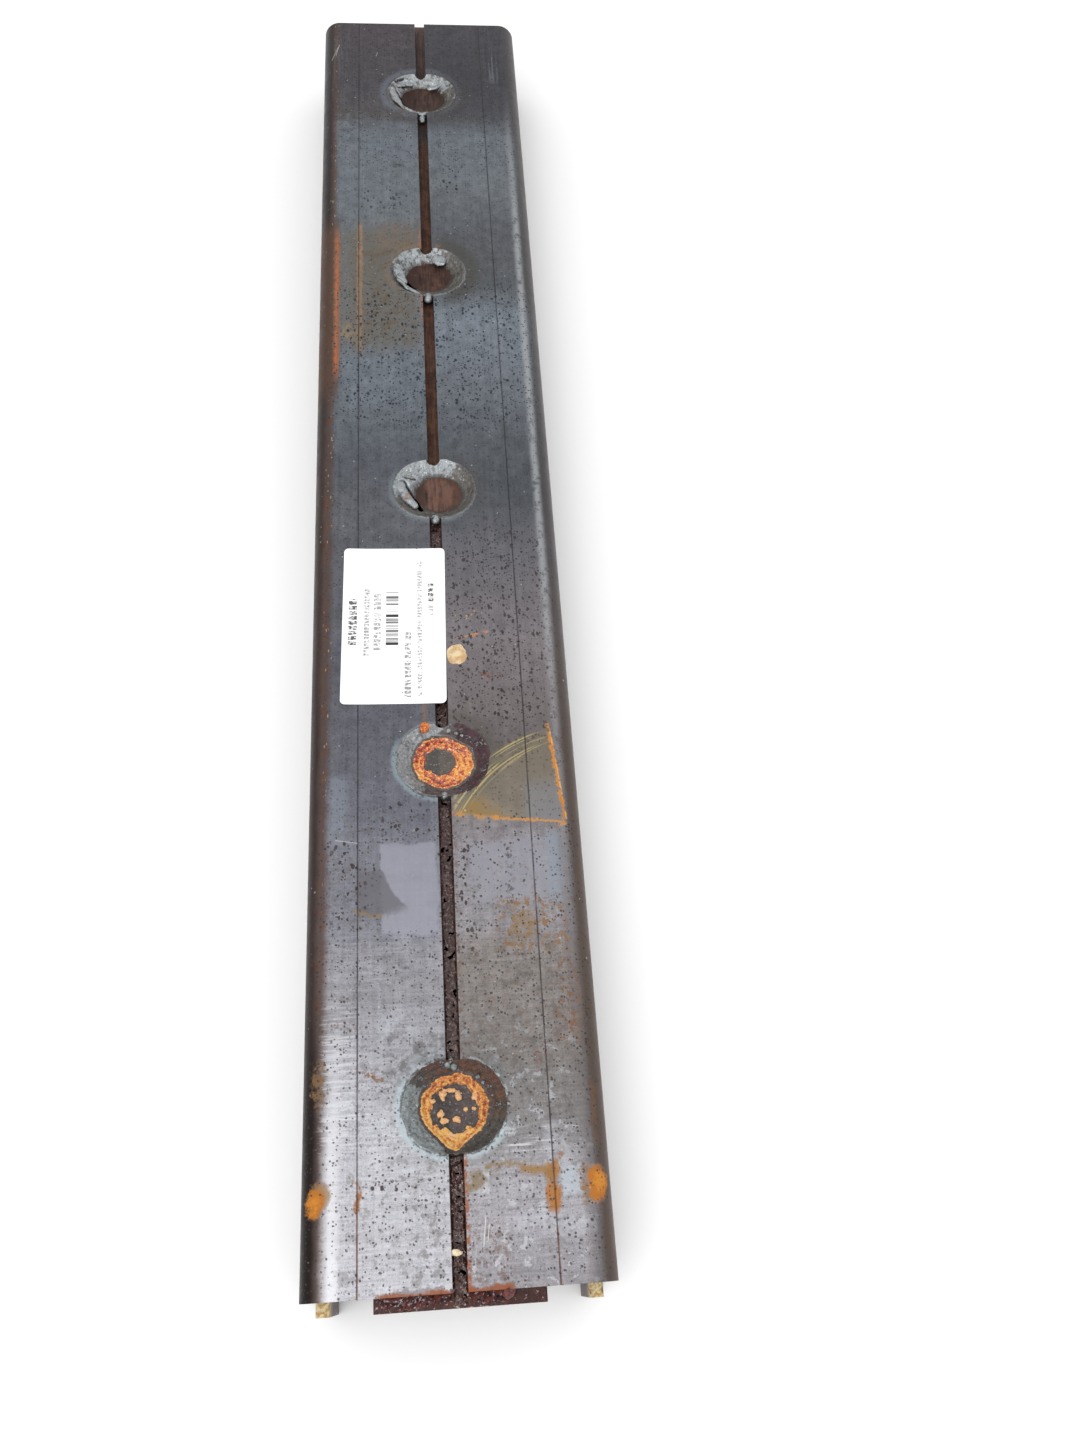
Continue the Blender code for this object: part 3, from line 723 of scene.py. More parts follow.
def paint_crust(name, stops, middle, glint, gloss, warm):
    """Wet granular rust crust inside a ring weld, coloured by how high each grain stands: its rust tones
    carry painted shade, darker on low grains and lighter on high ones.

    middle has the two tones of its floor, glint the colour of the painted glints on its brightest grains,
    and warm the places, with their sizes, where it is more orange.
    """
    paint = Paint(name)
    rise, lay, grains = paint.rise, paint.lay, paint.grains
    crust, blobs, grain = (attribute(paint, key) for key in ("crust", "blobs", "grain"))
    cloud = paint.noise(3.2, 4, 0.65)
    crumble = paint.noise(0.9, 4, 0.7)
    fine = paint.noise(0.45, 2, 0.6)
    places = Marks(paint, paint.x, paint.y + NEAR_MM)
    # Tone by grain height: low grains darker as painted shade and high ones lighter as painted light, mixed
    # with rust tones.
    tint = grain * 0.6 + (cloud - 0.5) * 1.4 + (crumble - 0.5) * 1.6 + 0.16
    for x, y, size in warm:
        tint = tint + 0.22 * places.spot(x, y, size, size, 0.9)

    paint.colour = paint.tones(tint, stops)
    # Painted glints on the brightest grains.
    lay(rise(crumble, 0.60, 0.68), 0.8, glint)
    lay(grains(1.7, 0.36, -0.2, spread=(crumble - 0.5) * 3), 0.2 + 0.8 * gloss, glint)
    orange = paint.colour

    paint.colour = paint.two_tone(rise(crumble * 0.5 + cloud * 0.5, 0.4, 0.62), *middle)
    # Painted shade: a dark hollow in the crust's floor.
    hollow_shade = rise(((paint.x + 5.5) * (paint.x + 5.5)) ** 0.5 + (cloud - 0.5) * 5, 5.0, 2.0)
    lay(hollow_shade, 0.7, shaded(middle[0], 0.5))
    lay(grains(1.5, 0.34, -0.1), 0.7, (136, 122, 116))

    lay(rise(crust + (crumble - 0.5) * 0.7, 0.30, 0.5), 1, orange)
    tan = paint.two_tone(rise(crumble, 0.36, 0.6), (206, 142, 88), (232, 186, 134))
    lay(rise(blobs + (crumble - 0.5) * 0.9, 0.25, 0.5), 1, tan)
    height = 0.28 * crumble + 0.08 * fine + 0.16 * cloud
    return paint.finish(0.55 - gloss * 0.3 + 0.3 * cloud, 0.05, height, coat=gloss)


def paint_deposit():
    """Lumpy wet rust on the bar inside the slot."""
    paint = Paint("slot_rust")
    cloud = paint.noise(4, 4, 0.65)
    crumble = paint.noise(1.2, 3, 0.65)
    near = paint.rise(paint.y + NEAR_MM, 150, 60)
    paint.colour = paint.two_tone(cloud, (40, 24, 23), (84, 52, 44))
    paint.lay(paint.rise(crumble, 0.52, 0.62), 1, paint.two_tone(near, (116, 92, 86), (104, 58, 48)))
    paint.lay(paint.rise(crumble, 0.60, 0.66), 0.3 + 0.7 * near, (200, 186, 184))
    return paint.finish(0.5 - 0.25 * near, 0.1, 0.25 * crumble + 0.15 * cloud, coat=0.3)


def paint_plain(name, light, dark, size, rough, relief=0.03):
    """A small part's finish: two tones in clouds, with a little relief."""
    paint = Paint(name)
    cloud = paint.noise(size, 3, 0.6)
    fine = paint.noise(size / 6, 2, 0.6)
    paint.colour = paint.two_tone(paint.rise(cloud, 0.36, 0.62), dark, light)
    return paint.finish(rough + 0.15 * (fine - 0.5), 0.0, relief * cloud + relief * 0.4 * fine, balance=1)


LABEL_SIZE = (58.5, 102.0)
LABEL_TURN = -0.018  # radians, as it was stuck on
# Plain grey bars where a shipping label has its printing: left, right, near, far,
# darkness, length of a piece, length of a run.
PRINT_ROWS = [
    (-25.8, -21.0, -14.0, 16.8, 0.92, 3.3, 0.0),
    (-17.0, -14.0, -20.8, 23.2, 0.66, 2.1, 0.0),
    (-11.6, -7.4, -17.8, 19.8, 0.66, 2.7, 13.0),
    (6.0, 9.8, -47.6, -4.9, 0.7, 2.5, 12.0),
    (13.2, 15.9, -47.6, 42.3, 0.6, 1.9, 17.0),
    (19.3, 22.4, 5.2, 12.0, 0.5, 2.4, 0.0),
    (19.3, 22.6, 14.3, 27.2, 0.92, 3.2, 0.0),
]
BAR_BLOCK = (-4.6, 2.5, -14.4, 21.0)
PIECE_GAP, RUN_GAP = 0.2, 0.1  # shares of a piece and of a run that stay white


def paint_label():
    """White paper with plain grey bars and a block of stripes, and no writing."""
    paint = Paint("label_paper")
    x, y = paint.x, paint.y
    marks = Marks(paint, x, y)
    cloud = paint.noise(18, 3, 0.5)
    fibre = paint.noise(0.5, 2, 0.6)
    paint.colour = paint.two_tone(cloud, (250, 250, 250), (255, 255, 255))
    strokes = paint.rise(paint.noise(0.9, 1, 0.5, stretch=(1.6, 1.0, 1.0)), 0.44, 0.52)
    for left, right, near, far, darkness, piece, run in PRINT_ROWS:
        row = marks.box(left, right, near, far, 0.15)
        for length, open_share in ((piece, PIECE_GAP), (run, RUN_GAP)):
            if length:
                off = abs(paint.math("FLOORED_MODULO", y - near, length) - length / 2)
                half = length * (0.5 - open_share / 2)
                row = row * paint.rise(off, half + 0.1, half - 0.1)
        paint.lay(row * (0.3 + 0.7 * strokes), darkness, (34, 34, 38))
    stripes, wide = (paint.noise(size, 1, 0.5, stretch=(400.0, 1.0, 1.0)) for size in (0.6, 2.6))
    block = marks.box(*BAR_BLOCK, 0.12) * paint.rise(stripes * 0.82 + wide * 0.18, 0.44, 0.50)
    paint.lay(block, 0.6 + 0.4 * paint.rise(wide, 0.5, 0.56), (30, 30, 36))
    edge = paint.rise(paint.most(abs(x) - LABEL_SIZE[0] / 2, abs(y) - LABEL_SIZE[1] / 2), -0.6, 0.0)
    paint.lay(edge * cloud, 0.3, (206, 204, 200))
    return paint.finish(0.48 + 0.08 * fibre, 0.0, 0.012 * fibre + 0.02 * cloud, balance=1)


def paint_floor():
    paint = Paint("studio_floor")
    paint.colour = paint.two_tone(paint.noise(400, 2, 0.5), (249, 249, 249), (251, 251, 251))
    return paint.finish(0.9, 0.0, balance=1)


# ---------------------------------------------------------------- meshes

def link(made):
    bpy.context.scene.collection.objects.link(made)
    return made


def plain_object(name, shape):
    """Turns a bmesh into an object in the scene."""
    mesh = bpy.data.meshes.new(name)
    shape.to_mesh(mesh)
    shape.free()
    return link(bpy.data.objects.new(name, mesh))


def add_piece(name, shape, made_of, slot, replaced=(), sharp=60.0, values=None):
    """Turns a bmesh into a piece of the shoe. values holds a number for each vertex, by name."""
    bmesh.ops.recalc_face_normals(shape, faces=shape.faces)
    made = plain_object(name, shape)
    mesh = made.data
    mesh.shade_smooth()
    mesh.set_sharp_from_angle(angle=math.radians(sharp))
    for key, numbers in (values or {}).items():
        mesh.attributes.new(key, "FLOAT", "POINT").data.foreach_set("value", numbers)
    mesh.materials.append(made_of)
    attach(made, "root")
    if replaced:
        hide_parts(*replaced)
    return made


class Skin:
    """A mesh in the making, with named numbers for each of its points."""

    def __init__(self, *keys):
        self.shape = bmesh.new()
        self.values = {key: [] for key in keys}

    def put(self, x, y, z, *numbers):
        for key, number in zip(self.values, numbers):
            self.values[key].append(number)
        return self.shape.verts.new((x, y, z))


def close_loop(shape, loop, following):
    """Joins two closed loops of points with a strip of faces."""
    for j in range(len(loop)):
        k = (j + 1) % len(loop)
        shape.faces.new((loop[j], loop[k], following[k], following[j]))


def close_bar(shape, loops):
    """Joins a row of loops into a bar and closes its ends."""
    for loop, following in zip(loops, loops[1:]):
        close_loop(shape, loop, following)
    shape.faces.new(loops[0])
    shape.faces.new(list(reversed(loops[-1])))


def close_grid(shape, grid):
    for column, following in zip(grid, grid[1:]):
        for j in range(len(column) - 1):
            shape.faces.new((column[j], following[j], following[j + 1], column[j + 1]))


def clamp(value):
    return min(1.0, max(0.0, value))


def smooth_step(value, start, end):
    share = clamp((value - start) / (end - start))
    return share * share * (3 - 2 * share)


def blend(first, second, share):
    return first + (second - first) * share


def cloud_at(x, y, z, size, octaves=3):
    """Fractal noise about zero, roughly from -1 to 1."""
    spot = Vector((x / size, y / size, z / size))
    return noise.fractal(spot, 1.0, 2.0, octaves, noise_basis="PERLIN_ORIGINAL") * 1.4


def arc(centre, radius, start, end, steps):
    """Points on an arc, both ends included. Angles are in degrees."""
    angles = [math.radians(start + (end - start) * i / steps) for i in range(steps + 1)]
    return [(centre[0] + radius * math.cos(a), centre[1] + radius * math.sin(a)) for a in angles]


def sweep(shape, outline, start, end):
    """Adds a closed bar: an outline of (x, z) points swept along Y."""
    close_bar(shape, [[shape.verts.new((x, y, z)) for x, z in outline] for y in (start, end)])


def notch_wall(angle):
    """Distance from a ring's centre to the wall of its notch, in a direction."""
    across, along = abs(math.cos(angle)), abs(math.sin(angle))
    if across * NOTCH_RADIUS <= HALF_SLOT * along:
        return NOTCH_RADIUS / along
    offset = HALF_SLOT * across
    return offset + math.sqrt(offset * offset - HALF_SLOT**2 + NOTCH_RADIUS**2)


# ---------------------------------------------------------------- plates and bars

def plate_outline(side):
    """Cross-section of a bent plate, with narrow strips that keep its flat faces flat in shading."""
    strip = 0.0006
    bend_x, bend_z = HALF_WIDTH - BEND_RADIUS, WEAR_Z - BEND_RADIUS
    line = PRESS_LINES[side]
    groove = [(line - 0.0009, WEAR_Z), (line - 0.0003, WEAR_Z), (line, WEAR_Z - PRESS_DEPTH),
              (line + 0.0003, WEAR_Z), (line + 0.0009, WEAR_Z)]
    outside = arc((bend_x, bend_z), BEND_RADIUS, 90, 0, 20)
    inside = arc((bend_x, bend_z), BEND_RADIUS - PLATE, 0, 90, 14)
    points = [(HALF_SLOT, WEAR_Z), *groove, (bend_x - strip, WEAR_Z), *outside,
              (HALF_WIDTH, bend_z - strip), (HALF_WIDTH, 0.0), (HALF_WIDTH - PLATE, 0.0),
              (HALF_WIDTH - PLATE, bend_z - strip), *inside, (bend_x - strip, WEAR_Z - PLATE),
              (HALF_SLOT, WEAR_Z - PLATE)]
    return [(side * x, z) for x, z in points]


def make_notch_cutter():
    """The five pairs of half-round notches, with slightly uneven burnt edges."""
    shape = bmesh.new()
    steps = 180
    for y in RING_CENTRES:
        outline = []
        for i in range(steps):
            angle = 2 * math.pi * i / steps
            wobble = 0.00022 * cloud_at(math.cos(angle) * 3, math.sin(angle) * 3, y * 50, 0.7)
            reach = notch_wall(angle) + wobble
            outline.append((reach * math.cos(angle), y + reach * math.sin(angle)))
        close_bar(shape, [[shape.verts.new((px, py, z)) for px, py in outline]
                          for z in (WEAR_Z - 2 * PLATE, WEAR_Z + PLATE)])
    bmesh.ops.recalc_face_normals(shape, faces=shape.faces)
    return plain_object("notch_cutter", shape)


def make_plates():
    cutter = make_notch_cutter()
    for name, side in SIDES.items():
        shape = bmesh.new()
        sweep(shape, plate_outline(side), -HALF_LENGTH, HALF_LENGTH)
        plate = add_piece(f"plate_{name}", shape, paint_plate(side), "wear_plate", (f"shell_{name}",), 20)
        cut = plate.modifiers.new("notches", "BOOLEAN")
        cut.operation, cut.solver, cut.object = "DIFFERENCE", "EXACT", cutter
        worn = plate.modifiers.new("worn_edges", "BEVEL")
        worn.width, worn.segments = EDGE_ROUND, 2
        worn.limit_method, worn.angle_limit = "ANGLE", math.radians(45)
        graph = bpy.context.evaluated_depsgraph_get()
        finished = bpy.data.meshes.new_from_object(plate.evaluated_get(graph))
        plate.modifiers.clear()
        plate.data = finished
        plate.data.shade_smooth()
        plate.data.set_sharp_from_angle(angle=math.radians(20))
    bpy.data.objects.remove(cutter, do_unlink=True)


def make_bar(name, node, made_of, corner):
    """A length of hot-rolled flat bar with rounded edges and sawn ends."""
    low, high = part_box(node)
    centres = [((high[0] - corner, high[2] - corner), 0), ((low[0] + corner, high[2] - corner), 90),
               ((low[0] + corner, low[2] + corner), 180), ((high[0] - corner, low[2] + corner), 270)]
    outline = [point for centre, start in centres for point in arc(centre, corner, start, start + 90, 5)]
    shape = bmesh.new()
    sweep(shape, outline, low[1], high[1])
    ends = [edge for edge in shape.edges if len(edge.link_faces) == 2
            and any(len(face.verts) > 4 for face in edge.link_faces)]
    bmesh.ops.bevel(shape, geom=ends, offset=END_ROUND, segments=1, affect="EDGES")
    add_piece(name, shape, made_of, "bar_steel", (node,), 20)


# ---------------------------------------------------------------- weld beads

class RingWeld:
    """Height of one ring weld above the bar, from a few facts about how it was laid.

    Sizes are in millimetres. bore is the open middle's half width and half length, and middle its centre.
    bite is how far the slot's end reaches into the far side. The bead is broad and bright towards the
    direction bright, in degrees, and a smooth grey slope elsewhere.
    """

    def __init__(self, number, bore, middle, bite, bright, spread, level, rust=(0.0, 0.0), gouges=()):
        self.number, self.bite = number, bite / 1000
        self.bore = tuple(size / 1000 for size in bore)
        self.middle = tuple(place / 1000 for place in middle)
        self.bright, self.spread, self.level, self.rust, self.gouges = bright, spread, level, rust, gouges
        self.centre = RING_CENTRES[number - 1]

    def in_slot(self, angle, reach):
        return smooth_step(HALF_SLOT - abs(reach * math.cos(angle)), -0.0006, 0.0010)

    def width(self, angle):
        """From the notch wall to the open middle, an ellipse off the centre."""
        (a, b), (cx, cy) = self.bore, self.middle
        dx, dy = math.cos(angle) / a, math.sin(angle) / b
        ox, oy = cx / a, cy / b
        square, half = dx * dx + dy * dy, dx * ox + dy * oy
        edge = (half + math.sqrt(half * half - square * (ox * ox + oy * oy - 1))) / square
        edge += 0.0006 * cloud_at(math.cos(angle) * 2, math.sin(angle) * 2, self.number * 7.0, 1.0)
        return notch_wall(angle) - edge

    def brightness(self, angle):
        turn = math.cos(angle - math.radians(self.bright))
        return smooth_step(turn, -self.spread, min(0.98, 0.7 - self.spread)) * self.level

    def point(self, angle, inward):
        """x, y, z, depth, brightness and rust at a distance inward from the notch wall. depth is how much
        painted shade falls there.
        """
        wall = notch_wall(angle)
        reach = wall - inward
        x, y = reach * math.cos(angle), reach * math.sin(angle)
        share = clamp(inward / self.width(angle))
        full, silver = WEAR_Z - BAR_TOP, self.brightness(angle)
        top = full + 0.00015 - 0.0006 * self.in_slot(angle, wall)
        height = top * (1 - share) ** blend(1.35, 0.80, silver)
        body = math.sin(math.pi * min(1.0, share * 0.9 + 0.08))
        seed = self.number * 0.31
        height += blend(0.00022, 0.00075, silver) * cloud_at(x, y, seed, 0.0050) * body
        height += blend(0.00004, 0.00026, silver) * cloud_at(x, y, seed + 1, 0.0016, 4) * body
        # Faint steps round the smooth side, where the bead was laid in passes.
        height += 0.00010 * (1 - silver) * math.sin(share * 20 + 2 * math.sin(angle * 2)) * body
        silver = min(1.0, max(0.05, silver + 0.3 * cloud_at(x, y, seed + 5, 0.0035)))
        rust = self.rust[1] * smooth_step(math.cos(angle - math.radians(self.rust[0])), -0.2, 0.7)
        # Painted shade: the inner half of the bead darkens towards the open middle.
        depth = 0.95 * share if share > 0.5 else 0.2
        if self.bite:
            # The slot's end, a little wider than the slot and round, painted dark as shade.
            radius = 0.0043
            stem = max(0.0, NOTCH_RADIUS - self.bite + radius - y) if y > 0 else 1.0
            off = math.hypot(x + 0.0003, stem) / radius
            open_share = smooth_step(1.12 - off, 0.0, 0.22)
            height = blend(height, 0.0005, open_share)
            depth, silver = blend(depth, 1.0, open_share), silver * (1 - open_share)
        for start, end, radius, drop in self.gouges:
            cut = 1 - distance_to_line(x * 1000, y * 1000, start, end) / radius
            if cut > 0:
                cut = smooth_step(cut, 0.0, 0.8)
                height -= drop / 1000 * cut
                depth, silver = max(depth, cut), silver * (1 - cut)
        return x, y, BAR_TOP + max(height, 0.0), depth, silver, rust


def distance_to_line(x, y, start, end):
    run = (end[0] - start[0], end[1] - start[1])
    along = ((x - start[0]) * run[0] + (y - start[1]) * run[1]) / (run[0] ** 2 + run[1] ** 2)
    along = clamp(along)
    return math.hypot(x - start[0] - along * run[0], y - start[1] - along * run[1])


def make_ring(weld, lumps, made_of, slot):
    """One ring weld: its toe laps over the notch's rim, its face slopes to the bar, and lumps lie on it."""
    skin = Skin("depth", "silver", "rusty")
    turns, steps, laps = 360, 34, 5
    toe, toe_fall = 0.00022, 0.00030  # the toe's height over the plate, and how far its edge drops
    lap_on_plate, lap_in_slot = 0.0006, 0.0010
    hidden = 0.0005  # the unseen back's distance from the faces in front of it

    def put(x, y, z, *numbers):
        return skin.put(x, weld.centre + y, z, *numbers)

    loops = []
    for i in range(turns):
        angle = 2 * math.pi * i / turns
        cos, sin, wall, width = math.cos(angle), math.sin(angle), notch_wall(angle), weld.width(angle)
        in_slot = weld.in_slot(angle, wall)
        uneven = cloud_at(cos * 5, sin * 5, weld.number * 3.0, 1.0, 4)
        lap = blend(lap_on_plate * (1 + uneven), lap_in_slot, in_slot)
        x, y, edge, depth, silver, rust = weld.point(angle, 0.0)
        loop = []
        for j in range(laps):
            share = 1 - j / laps  # 1 at the outermost point
            on_plate = WEAR_Z + toe - toe_fall * share * share
            on_slot = BAR_TOP + (edge - BAR_TOP) * math.sqrt(max(0.0, 1 - share**2.4))
            z = blend(blend(edge, on_plate, min(1.0, share * 3)), on_slot, in_slot)
            reach = wall + lap * share
            # The lap's darkness: painted shade along the notch rim, strongest on the rusted rings.
            level = max(depth, weld.rust[1] * 0.85)
            loop.append(put(reach * cos, reach * sin, z, level, silver * 0.7, rust))
        for j in range(steps + 1):
            loop.append(put(*weld.point(angle, width * j / steps)))
        under = blend(WEAR_Z - hidden, BAR_TOP, in_slot)
        back = wall - 0.00035
        for reach, z in ((wall - width - hidden, BAR_TOP - SINK), (back, BAR_TOP - SINK), (back, under)):
            loop.append(put(reach * cos, reach * sin, z, 1.0, 0.0, 0.0))
        loops.append(loop)
    for loop, following in zip(loops, loops[1:] + loops[:1]):
        close_loop(skin.shape, loop, following)
    for lump in lumps:
        add_lump(put, skin.shape, *lump)
    name = f"ring_bead_{weld.number}"
    add_piece(name, skin.shape, made_of, slot, (f"ring_weld_{weld.number}",), values=skin.values)


def add_lump(put, shape, path, flat, roughness, silver, rust=None):
    """A closed rounded lump along a path of (x, y, z from the wear face, radius), all in millimetres.

    flat is its height against its width, and rust a round stain: its middle, radius and strength.
    """
    turns, caps, between, steepest = 32, 7, 6, 88
    dense = []
    for start, end in zip(path, path[1:]):
        for i in range(between):
            dense.append([blend(p, q, i / between) for p, q in zip(start, end)])
    dense.append(list(path[-1]))
    if len(path) == 1:
        dense.append([path[0][0] + 0.01, *path[0][1:]])
    stations = []
    for i, (x, y, z, radius) in enumerate(dense):
        before, after = dense[max(0, i - 1)], dense[min(len(dense) - 1, i + 1)]
        length = math.hypot(after[0] - before[0], after[1] - before[1])
        tangent = ((after[0] - before[0]) / length, (after[1] - before[1]) / length)
        ends = [0.0]
        if i == 0:
            ends = [-math.radians(steepest * (caps - j) / caps) for j in range(caps)] + ends
        if i == len(dense) - 1:
            ends += [math.radians(steepest * (j + 1) / caps) for j in range(caps)]
        for bend in ends:
            off, size = radius * math.sin(bend), radius * math.cos(bend)
            stations.append((x + tangent[0] * off, y + tangent[1] * off, z, size, tangent))
    loops = []
    for x, y, z, radius, tangent in stations:
        loop = []
        for j in range(turns):
            angle = 2 * math.pi * j / turns
            px, py = x - tangent[1] * radius * math.cos(angle), y + tangent[0] * radius * math.cos(angle)
            lump = 1 + roughness * cloud_at(px, py, radius * math.sin(angle), 3.2, 4)
            px, py = x + (px - x) * lump, y + (py - y) * lump
            pz = z + radius * flat * math.sin(angle) * lump
            stain = 0.0
            if rust:
                off = math.hypot(px - rust[0], py - rust[1]) / rust[2]
                stain = rust[3] * smooth_step(1 - off, 0.0, 0.5)
            # Painted light: each lump is lighter on top and darker down its sides, with painted shade
            # underneath.
            shade = silver * (0.55 + 0.45 * math.sin(angle)) + 0.25 * cloud_at(px, py, z, 2.4)
            depth = 0.9 if math.sin(angle) < -0.1 else 0.1
            loop.append(put(px / 1000, py / 1000, WEAR_Z + pz / 1000, depth, clamp(shade), stain))
        loops.append(loop)
    close_bar(shape, loops)


def make_crust(weld, inner, outer, middle, point, blobs, made_of):
    """Rust crust over the middle of a ring weld: a granular ridge round a flatter floor.

    inner and outer are the ridge's half widths and half lengths, middle the floor's centre, point how far
    the ridge reaches on at the near side, and blobs lie on the floor, all in millimetres.
    """
    skin = Skin("crust", "blobs", "grain")
    shape = skin.shape
    turns, steps = 220, 70
    number = weld.number
    tops, under = [], []

    def put(x, y, z, *numbers):
        return skin.put(x / 1000, weld.centre + y / 1000, z, *numbers)

    for i in range(turns):
        angle = 2 * math.pi * i / turns
        cos, sin = math.cos(angle), math.sin(angle)
        wall = notch_wall(angle) * 1000
        far = 1 / math.hypot(cos / outer[0], sin / outer[1])
        broad, fine = cloud_at(cos, sin, number * 5.0, 0.5), cloud_at(cos, sin, number * 6.0, 0.12)
        far *= 1 + 0.05 * broad + 0.02 * fine
        if sin < 0:
            far += point * max(0.0, 1 - abs(cos) * 2.2)
        reach = far + 1.6
        row = []
        for j in range(1, steps + 1):
            r = reach * j / steps
            x, y = r * cos, r * sin
            inward = (wall - r) / 1000
            below = BAR_TOP if inward > weld.width(angle) - 0.0004 else weld.point(angle, inward)[2]
            inside = math.hypot((x - middle[0]) / inner[0], (y - middle[1]) / inner[1])
            inside += 0.13 * cloud_at(x, y, number * 2.0, 5.0, 4)
            ridge = smooth_step(inside, 0.92, 1.10) * smooth_step(far + 0.4 - r, 0.0, 1.6)
            grain = 0.5 + 0.5 * cloud_at(x, y, number * 1.7, 1.5, 4)
            ring = 0.5 + 0.5 * math.sin((far - r) * 2.3 + 1.6 * cloud_at(x, y, number, 6.0))
            height = 0.08 + ridge * (0.35 + 0.75 * grain + 0.35 * ring) + (1 - ridge) * 0.25 * grain
            mask = 0.0
            for bx, by, wide, long, tall in blobs:
                off = math.hypot((x - bx) / wide, (y - by) / long) + 0.35 * cloud_at(x, y, bx, 1.6, 4)
                if off < 1:
                    mask = max(mask, 1 - off * off)
                    height = max(height, 0.1 + tall * math.sqrt(1 - max(0.0, off) ** 2))
            fade = smooth_step(reach - r, 0.0, 1.2)
            z = below - 0.00015 + (height / 1000 + 0.00015) * fade
            row.append(put(x, y, z, ridge, min(1.0, mask * 2), min(1.0, 0.7 * grain + 0.3 * ring)))
        tops.append(row)
        under.append(put(reach * cos, reach * sin, BAR_TOP - 0.0002, 0.0, 0.0, 0.0))
    centre = put(0.0, 0.0, BAR_TOP + 0.0002, 0.0, 0.0, 0.0)
    for i in range(turns):
        k = (i + 1) % turns
        shape.faces.new((centre, tops[i][0], tops[k][0]))
        for j in range(steps - 1):
            shape.faces.new((tops[i][j], tops[i][j + 1], tops[k][j + 1], tops[k][j]))
        shape.faces.new((tops[i][-1], under[i], under[k], tops[k][-1]))
    shape.faces.new(under)
    add_piece(f"ring_crust_{number}", shape, made_of, "rusted_weld", values=skin.values)


def make_bead(name, node, length, leg, place, turn, made_of, rough=1.0, pitch=0.0022):
    """A fillet bead with ripples and lumps. Its corner lies along local X, with legs along -Y and +Z."""
    skin = Skin("depth", "silver", "rusty")
    step, lump_size, grain_size, ripple_size = 0.0004, 0.00055, 0.00026, 0.00012
    stations, across = max(40, int(length / step)), 14
    seed = place[0] * 71 + place[1] * 37
    loops = []
    for i in range(stations + 1):
        along = -1 + 2 * i / stations
        x = along * length / 2
        end = max(0.0, 1 - abs(along) ** 6)
        size = leg * (0.35 + 0.65 * math.sqrt(end)) * (1 + 0.10 * rough * cloud_at(x, seed, 0, 0.007))
        loop = []
        for j in range(across + 1):
            angle = math.radians(90 * j / across)
            ripple = math.sin(2 * math.pi * (x + 0.0008 * math.sin(2 * angle)) / pitch)
            body = math.sin(2 * angle) * end
            lump = cloud_at(x, angle * leg, seed, 0.0042) * lump_size * rough
            grain = cloud_at(x, angle * leg, seed + 3, 0.0014, 4)
            reach = size * (0.80 + 0.10 * math.cos(4 * (angle - math.pi / 4)))
            reach += (ripple_size * ripple + lump + grain * grain_size * rough) * (0.25 + 0.75 * body)
            # Painted shade darkens the bead towards its toes and ends.
            depth, silver = 0.3 + 0.5 * (1 - body), 0.25 + 0.2 * ripple * body + 0.6 * grain
            rust = 0.35 + 0.8 * lump / 0.0005
            loop.append(skin.put(x, -reach * math.cos(angle) + SINK, reach * math.sin(angle) - SINK,
                                 clamp(depth), clamp(silver), clamp(rust)))
        loop.append(skin.put(x, SINK, -SINK, 1.0, 0.0, 0.0))
        loops.append(loop)
    close_bar(skin.shape, loops)
    move = Matrix.Translation(place) @ Matrix.Rotation(turn, 4, "Z")
    bmesh.ops.transform(skin.shape, matrix=move, verts=skin.shape.verts)
    add_piece(name, skin.shape, made_of, "weld_metal", (node,), values=skin.values)


# ---------------------------------------------------------------- deposits and small parts

def make_sheet(name, made_of, slot, low, high, spacing, height, floor):
    """A lumpy closed patch over a rectangle: height(x, y) gives its top."""
    columns = max(2, round((high[0] - low[0]) / spacing))
    rows = max(2, round((high[1] - low[1]) / spacing))
    shape = bmesh.new()
    grid = []
    for i in range(columns + 1):
        x = blend(low[0], high[0], i / columns)
        grid.append([])
        for j in range(rows + 1):
            y = blend(low[1], high[1], j / rows)
            edge = i in (0, columns) or j in (0, rows)
            grid[-1].append(shape.verts.new((x, y, floor if edge else max(floor, height(x, y)))))
    close_grid(shape, grid)
    edge = [grid[i][0] for i in range(columns + 1)] + [grid[-1][j] for j in range(1, rows + 1)]
    edge += [grid[i][-1] for i in range(columns - 1, -1, -1)] + [grid[0][j] for j in range(rows - 1, 0, -1)]
    under = [shape.verts.new((v.co.x, v.co.y, floor - 2 * SINK)) for v in edge]
    for j in range(len(edge)):
        k = (j + 1) % len(edge)
        shape.faces.new((edge[j], under[j], under[k], edge[k]))
    shape.faces.new(under)
    add_piece(name, shape, made_of, slot)


def make_slot_deposits(made_of):
    """Rust and slag lying on the bar inside the slot, thickest near the end."""
    clear, from_end, side_gap, spacing = 0.0005, 0.0008, 0.0002, 0.0005
    edges = [-BAR_HALF + from_end]
    for centre in RING_CENTRES[:3]:
        edges += [centre - NOTCH_RADIUS - clear, centre + NOTCH_RADIUS + clear]
    for number, thick in enumerate((0.0011, 0.0006, 0.00025), 1):
        start, end = edges[2 * number - 2:2 * number]

        def height(x, y, thick=thick):
            lump = 0.35 + 0.9 * cloud_at(x, y, 4.0, 0.0032, 4)
            return BAR_TOP + thick * max(0.0, lump) * smooth_step(HALF_SLOT - abs(x), 0.0, 0.0012)

        make_sheet(f"slot_rust_{number}", made_of, "rusted_weld", (-HALF_SLOT + side_gap, start),
                   (HALF_SLOT - side_gap, end), spacing, height, BAR_TOP - SINK)


